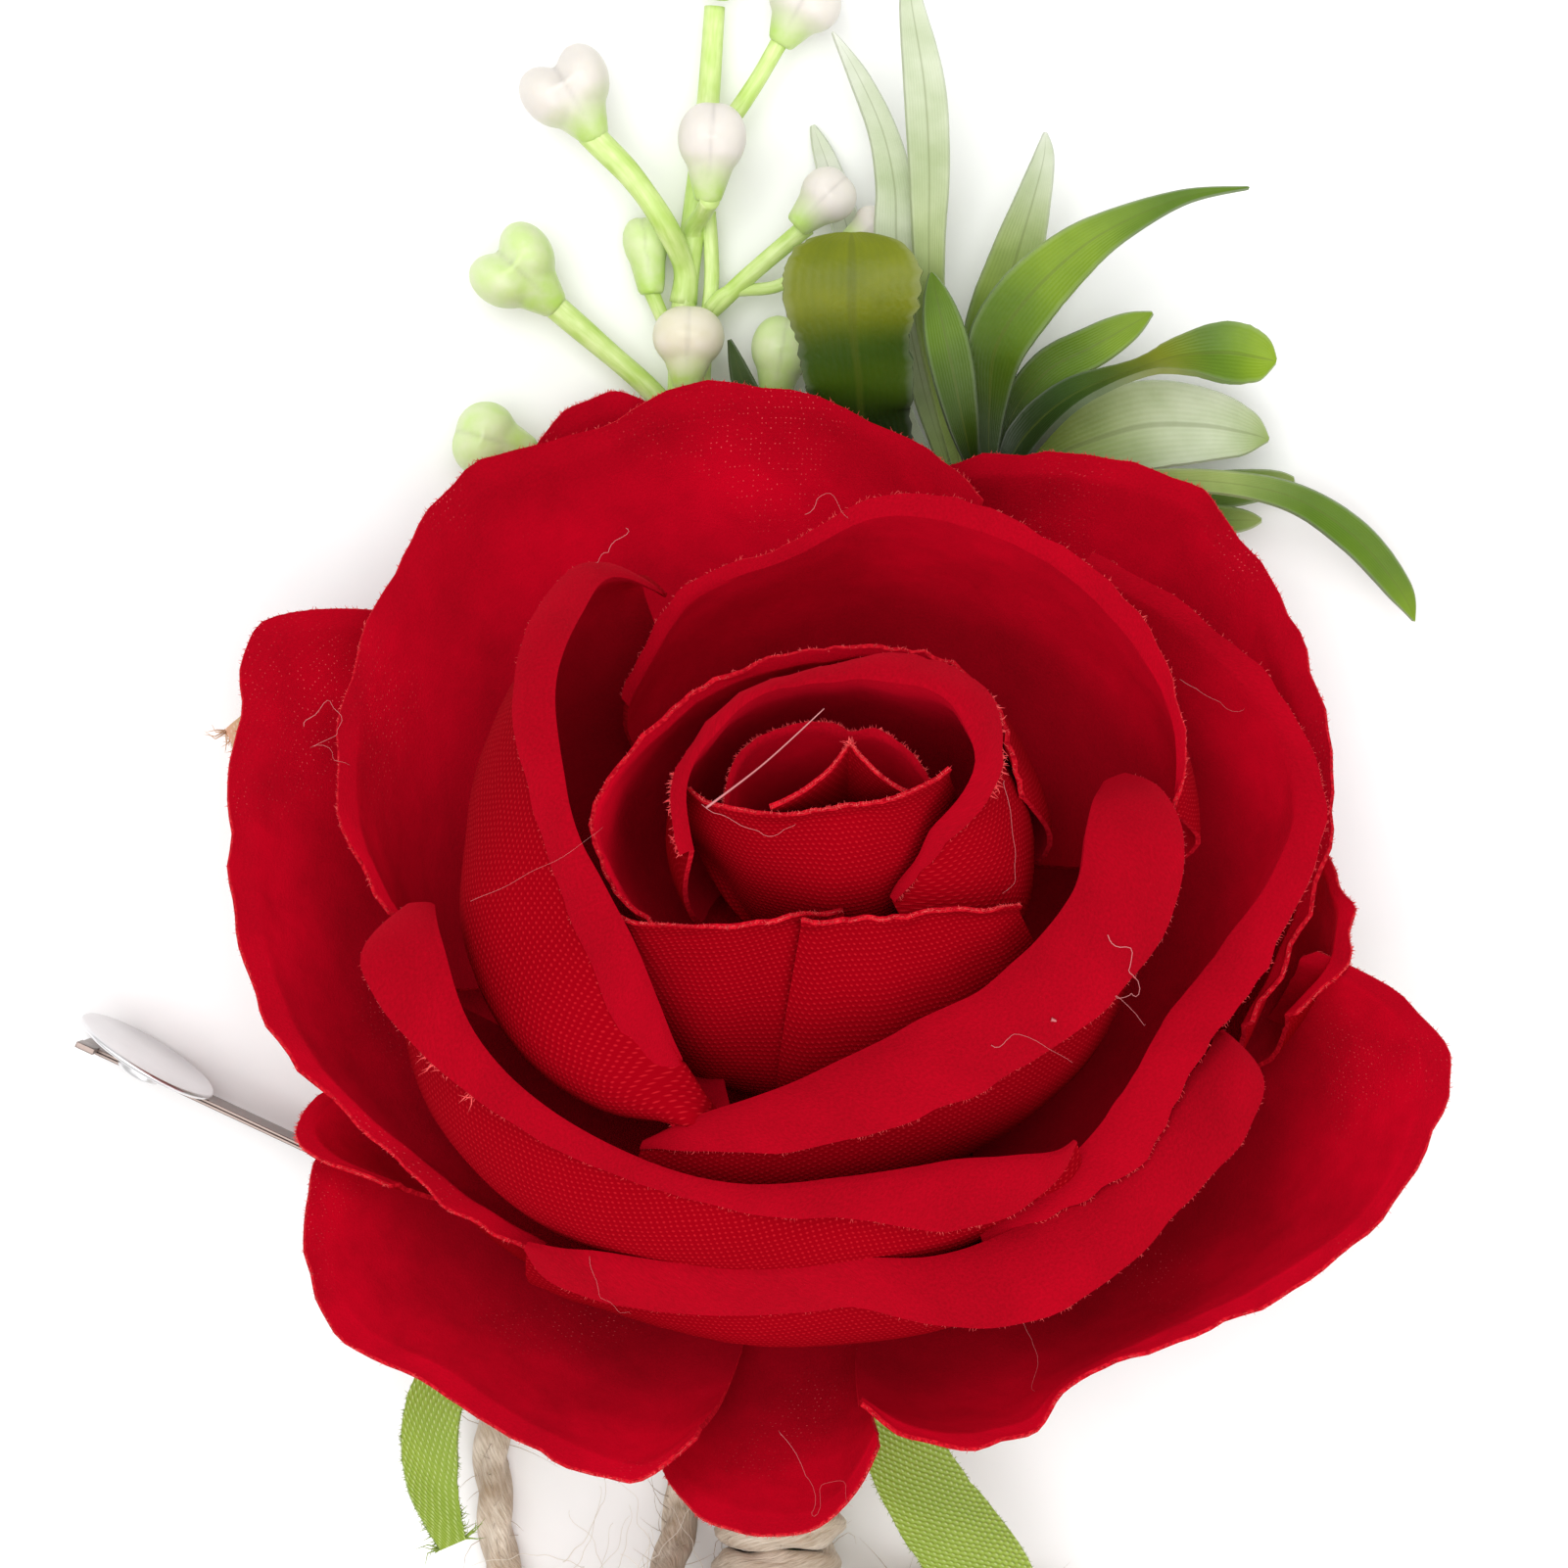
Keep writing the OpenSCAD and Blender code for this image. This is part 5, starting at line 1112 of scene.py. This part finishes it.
def leaf(name, rows, tints, fold=0.22, ragged=0.02):
    """One leaf. A row is side, along and up from the root, half width, and roll in degrees.
    tints are the blade's colours from its root to its tip; their darkness at the root is partly
    the plastic's own colour and partly painted shade where the leaves crowd together."""
    count = len(rows) - 1

    def centre(s):
        side, along, up, _, _ = smooth_at(rows, s * count)
        return hub + Vector((side, along, up)) * leaf_reach

    def place(across, s):
        way = centre(min(s + 0.015, 1)) - centre(max(s - 0.015, 0))
        flat = Vector((way.y, -way.x, 0)).normalized()
        rise = flat.cross(way).normalized()
        _, _, _, half, roll = smooth_at(rows, s * count)
        roll = math.radians(roll)
        side = flat * math.cos(roll) + rise * math.sin(roll)
        lift = rise * math.cos(roll) - flat * math.sin(roll)
        edge = 2 * across - 1
        half = max(half, 0.02) * leaf_w
        if s > tip_from:
            half *= math.sqrt(max(0.02, 1 - ((s - tip_from) / 0.14) ** 2 * 0.85))
        half *= 1 + ragged * noise.noise(Vector((s * 90, edge * 2, count)))
        return (centre(s) + side * half * edge + lift * half * fold * (abs(edge) ** 1.3 - 0.4)) * 0.001

    columns, lengths = 14, 60
    bpy.ops.object.select_all(action="DESELECT")
    bpy.ops.mesh.primitive_grid_add(x_subdivisions=columns, y_subdivisions=lengths, size=1)
    piece = bpy.context.object
    piece.name = piece.data.name = name + "_blade"
    mesh = piece.data
    spots = {v.index: (v.co.x + 0.5, v.co.y + 0.5) for v in mesh.vertices}
    tint = mesh.color_attributes.new("tint", "FLOAT_COLOR", "POINT")
    for v in mesh.vertices:
        across, s = spots[v.index]
        v.co = place(across, s)
        colour = smooth_at(tints, s * (len(tints) - 1))
        pale = 0.10 * max(0.0, abs(2 * across - 1) - 0.85) / 0.15
        tint.data[v.index].color = [min(1.0, max(0.0, c + (0.75 - c) * pale)) for c in colour[:3]] + [1.0]
    blade = mesh.uv_layers[0]
    blade.name = "blade"
    for loop in mesh.loops:
        across, s = spots[loop.vertex_index]
        blade.data[loop.index].uv = (2 * across - 1, s)
    mesh.materials.append(leaf_green)
    thick = piece.modifiers.new("wall", "SOLIDIFY")
    thick.thickness, thick.offset = leaf_wall, 0
    bpy.ops.object.modifier_apply(modifier="wall")
    bpy.ops.object.shade_smooth_by_angle(angle=crease)
    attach(piece, "root")
    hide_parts(name)


# dark and deep, used at the leaves' roots, are partly the plastic's own greens and partly painted shade where the
# leaves crowd at the root
dark, deep, mid = paint(34, 52, 10), paint(60, 84, 8), paint(92, 122, 14)
olive, bright, hazy = paint(116, 124, 0), paint(124, 152, 20), paint(150, 168, 92)
pale, misty = paint(202, 210, 182), paint(228, 230, 220)

leaf("leaf_curled", [
    (-0.058, 0.01, 0.15, 0.10, 0), (-0.16, 0.06, 0.155, 0.24, 0), (-0.215, 0.14, 0.20, 0.34, 0),
    (-0.225, 0.22, 0.27, 0.375, 0), (-0.235, 0.29, 0.315, 0.385, 0), (-0.24, 0.36, 0.35, 0.46, 0),
    (-0.24, 0.425, 0.362, 0.47, 0), (-0.24, 0.475, 0.345, 0.36, 0), (-0.24, 0.502, 0.32, 0.17, 0)],
    (dark, dark, dark, deep, deep, olive, olive, olive, olive), fold=0.10, ragged=0.09)
leaf("leaf_narrow", [
    (0.0, 0.06, 0.205, 0.05, 0), (-0.02, 0.14, 0.265, 0.11, 0), (-0.045, 0.26, 0.29, 0.15, 0),
    (-0.065, 0.35, 0.29, 0.12, 0), (-0.082, 0.43, 0.28, 0.03, 0)], (dark, deep, mid, mid))
leaf("leaf_tall", [
    (-0.02, 0.055, 0.12, 0.06, 0), (-0.05, 0.18, 0.14, 0.08, 0), (-0.08, 0.34, 0.17, 0.10, 0),
    (-0.085, 0.49, 0.20, 0.11, 0), (-0.085, 0.65, 0.22, 0.14, 0), (-0.095, 0.81, 0.23, 0.14, 0),
    (-0.12, 0.97, 0.22, 0.08, 0), (-0.125, 1.03, 0.21, 0.03, 0)], (hazy, hazy, pale, pale))
leaf("leaf_thin", [
    (-0.04, 0.042, 0.085, 0.05, 0), (-0.09, 0.20, 0.10, 0.08, 0), (-0.13, 0.38, 0.135, 0.12, 0),
    (-0.148, 0.50, 0.16, 0.15, 0), (-0.152, 0.61, 0.16, 0.13, 0), (-0.175, 0.72, 0.155, 0.10, 0),
    (-0.222, 0.83, 0.145, 0.07, 0), (-0.275, 0.925, 0.13, 0.02, 0)], (hazy, pale, pale, misty))
leaf("leaf_far", [
    (-0.055, 0.015, 0.04, 0.04, 0), (-0.14, 0.18, 0.03, 0.08, 0), (-0.21, 0.40, 0.028, 0.11, 0),
    (-0.25, 0.56, 0.028, 0.10, 0), (-0.285, 0.67, 0.028, 0.08, 0), (-0.315, 0.75, 0.028, 0.03, 0)],
    (pale, misty, misty))
leaf("leaf_upright", [
    (0.025, 0.052, 0.07, 0.05, 0), (0.03, 0.16, 0.08, 0.12, 0), (0.045, 0.32, 0.11, 0.20, 0),
    (0.09, 0.47, 0.14, 0.18, 0), (0.125, 0.59, 0.16, 0.12, 0), (0.145, 0.67, 0.17, 0.07, 0),
    (0.148, 0.72, 0.17, 0.02, 0)], (deep, mid, hazy, pale, misty))
leaf("leaf_arched", [
    (0.035, 0.05, 0.18, 0.05, 0), (0.035, 0.17, 0.205, 0.12, 0), (0.045, 0.28, 0.26, 0.20, 0),
    (0.10, 0.37, 0.30, 0.22, 0), (0.19, 0.458, 0.33, 0.18, 0), (0.28, 0.517, 0.34, 0.12, 0),
    (0.415, 0.575, 0.33, 0.05, 0), (0.542, 0.595, 0.31, 0.015, 0)], (dark, deep, mid, bright, mid, mid))
leaf("leaf_low_arch", [
    (0.05, 0.04, 0.13, 0.05, 0), (0.085, 0.16, 0.135, 0.10, 0), (0.152, 0.244, 0.17, 0.14, 0),
    (0.24, 0.29, 0.20, 0.14, 0), (0.308, 0.328, 0.21, 0.10, 0), (0.359, 0.357, 0.21, 0.02, 0)],
    (dark, deep, mid, bright, bright))
leaf("leaf_twisted", [
    (0.058, 0.028, 0.158, 0.05, 0), (0.11, 0.115, 0.185, 0.14, 30), (0.20, 0.19, 0.24, 0.16, 50),
    (0.328, 0.24, 0.27, 0.10, 55), (0.41, 0.265, 0.28, 0.15, 30), (0.50, 0.272, 0.28, 0.22, 10),
    (0.57, 0.262, 0.27, 0.16, 0), (0.60, 0.256, 0.265, 0.04, 0)],
    (dark, dark, deep, olive, mid, bright, bright), ragged=0.05)
leaf("leaf_broad", [
    (0.058, 0.015, 0.10, 0.05, 0), (0.15, 0.07, 0.09, 0.16, 0), (0.23, 0.105, 0.10, 0.26, 0),
    (0.347, 0.138, 0.12, 0.31, 0), (0.464, 0.138, 0.13, 0.26, 0), (0.552, 0.123, 0.13, 0.16, 0),
    (0.597, 0.11, 0.125, 0.03, 0)], (mid, hazy, pale, hazy))
leaf("leaf_drooping", [
    (0.062, -0.005, 0.17, 0.05, 0), (0.18, 0.0, 0.185, 0.07, 0), (0.32, 0.02, 0.20, 0.08, 0),
    (0.484, 0.021, 0.21, 0.08, 0), (0.64, -0.01, 0.20, 0.10, 0), (0.766, -0.088, 0.17, 0.12, 0),
    (0.858, -0.19, 0.13, 0.09, 0), (0.89, -0.252, 0.11, 0.02, 0)], (deep, mid, hazy, mid, mid, bright))
leaf("leaf_back_upper", [
    (0.062, -0.01, 0.05, 0.04, 0), (0.30, 0.0, 0.04, 0.08, 0), (0.48, 0.012, 0.045, 0.13, 0),
    (0.60, 0.025, 0.05, 0.10, 0), (0.655, 0.035, 0.05, 0.03, 0)], (deep, mid, hazy))
leaf("leaf_back_lower", [
    (0.06, -0.03, 0.09, 0.04, 0), (0.30, -0.045, 0.09, 0.08, 0), (0.46, -0.05, 0.10, 0.11, 0),
    (0.54, -0.05, 0.10, 0.08, 0), (0.585, -0.05, 0.10, 0.02, 0)], (deep, mid, hazy))
leaf("leaf_dark", [
    (-0.058, -0.02, 0.11, 0.04, 0), (-0.20, -0.02, 0.09, 0.06, 0), (-0.36, 0.06, 0.095, 0.07, 0),
    (-0.44, 0.19, 0.115, 0.09, 0), (-0.482, 0.31, 0.125, 0.02, 0)], (dark, dark, deep))

# ---- Lint ----
# Fine hairs and flecks of lint caught on the velvet, and loose jute hairs below the rose.
# They lie where they fell, on whatever is under them.

def strand(points, thick, lift, wander, seed):
    """A hair along a table of places seen from above, in millimetres, laid on what is under it."""
    chance, line = random.Random(seed), []
    for k in range(8 * (len(points) - 1) + 1):
        x, y = smooth_at(points, k / 8)
        x += wander * noise.noise(Vector((k * 0.21, seed, 0)))
        y += wander * noise.noise(Vector((k * 0.21, seed, 7)))
        hit, spot, *_ = bpy.context.scene.ray_cast(bpy.context.evaluated_depsgraph_get(),
                                                   Vector((x * 0.001, y * 0.001, 0.2)), Vector((0, 0, -1)))
        line.append(Vector((x * 0.001, y * 0.001, (spot.z if hit else 0) + lift * 0.001 * chance.uniform(0.6, 1.4))))
    high = [q.copy() for q in line]
    for q in line:
        q.z = max(h.z - 0.25 * (h.xy - q.xy).length for h in high)
    return tube(line, lambda share, turn: thick * 0.0005 * (1.2 - 0.7 * share), 4)


lint_white = clouded_finish("lint_hair", (170, 50, 60), (222, 158, 158), 150.0, Roughness=0.6)

hairs = [
    ([(-7.9, 16.0), (-4.5, 18.6), (-0.9, 21.9)], 0.13, 0.5, 0.0),
    ([(-8.2, 16.2), (-6.4, 15.2), (-4.2, 14.4), (-2.6, 15.0)], 0.03, 0.2, 0.5),
    ([(16.0, 8.4), (17.2, 7.0), (17.9, 5.2), (16.6, 4.6), (18.3, 3.4)], 0.045, 0.15, 0.9),
    ([(9.0, 1.9), (11.0, 2.4), (13.6, 1.0)], 0.03, 0.1, 0.9),
    ([(12.6, 3.4), (12.9, 3.3)], 0.22, 0.1, 0.0),
    ([(21.6, 24.0), (23.6, 22.8), (25.6, 21.8)], 0.03, 0.1, 0.6),
    ([(-33.4, 21.0), (-31.8, 22.4), (-31.2, 20.6), (-32.6, 19.8), (-30.6, 18.4)], 0.03, 0.1, 0.8),
    ([(-22.0, 10.4), (-18.0, 12.2), (-14.0, 14.8)], 0.018, 0.2, 0.4),
    ([(9.9, 17.6), (10.6, 13.4), (10.2, 10.8)], 0.028, 0.15, 0.6),
    ([(-3.6, -22.4), (-2.0, -24.6), (-1.4, -27.4), (-0.4, -25.4), (1.0, -27.0)], 0.02, 0.1, 0.8),
    ([(-15.0, -11.0), (-14.2, -13.4), (-12.6, -14.6)], 0.016, 0.1, 0.8),
    ([(11.6, -15.8), (12.4, -18.4), (12.0, -20.4)], 0.018, 0.1, 0.6),
    ([(-2.0, 34.0), (-0.6, 35.4), (0.6, 33.6)], 0.024, 0.1, 0.6),
    ([(-13.0, 33.1), (-14.0, 31.8), (-14.9, 30.8)], 0.03, 0.1, 0.7),
]
lint = tube_piece("lint_on_velvet", [strand(*hair, number)
                                     for number, hair in enumerate(hairs)], 0.0002, lint_white)
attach(lint, "root")

wisp_tone = clouded_finish("jute_wisp", (222, 212, 198), (244, 240, 232), 120.0, Roughness=0.7)
wisps = []
for k in range(20):
    chance = random.Random(40 + k)
    x, y, way = chance.uniform(-19, -8), chance.uniform(-41, -34), math.radians(chance.uniform(20, 160))
    places = [(x + r * math.cos(way + r * 0.06), y + r * math.sin(way + r * 0.06)) for r in (0, 2.5, 5.0, 7.5)]
    wisps.append(strand(places, 0.05, 1.2, 0.5, 60 + k))
loose_jute = tube_piece("jute_wisps", wisps, 0.0002, wisp_tone)
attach(loose_jute, "root")

# ---- Surface and light ----
# A plain pale table top, lit by one big soft light overhead, a weaker one from the front
# and a pale room.

paper = clouded_finish("pale_surface", (247, 247, 247), (250, 250, 250), 300.0, 3.0,
                       Roughness=0.9, Specular_IOR_Level=0.1)
bpy.ops.mesh.primitive_plane_add(size=4, location=(0, 0, 0))
surface = bpy.context.object
surface.name = surface.data.name = "surface"
bpy.ops.object.transform_apply(location=True, rotation=True, scale=True)
surface.data.materials.append(paper)

for name, place, aim, size, power in (("overhead", (-0.12, 0.06, 0.85), (0, 0, 0.02), 0.8, 5.5),
                                      ("front", (0.30, -0.50, 0.60), (0, 0, 0.02), 0.6, 2.6)):
    lamp = bpy.data.lights.new(name, "AREA")
    lamp.shape, lamp.size, lamp.energy = "SQUARE", size, power
    holder = bpy.data.objects.new(name, lamp)
    holder.location = place
    holder.rotation_euler = (Vector(aim) - Vector(place)).to_track_quat("-Z", "Y").to_euler()
    bpy.context.scene.collection.objects.link(holder)
room = bpy.data.worlds.new("room")
room.use_nodes = True
room.node_tree.nodes["Background"].inputs[0].default_value = (1, 1, 1, 1)
room.node_tree.nodes["Background"].inputs[1].default_value = 0.72
bpy.context.scene.world = room
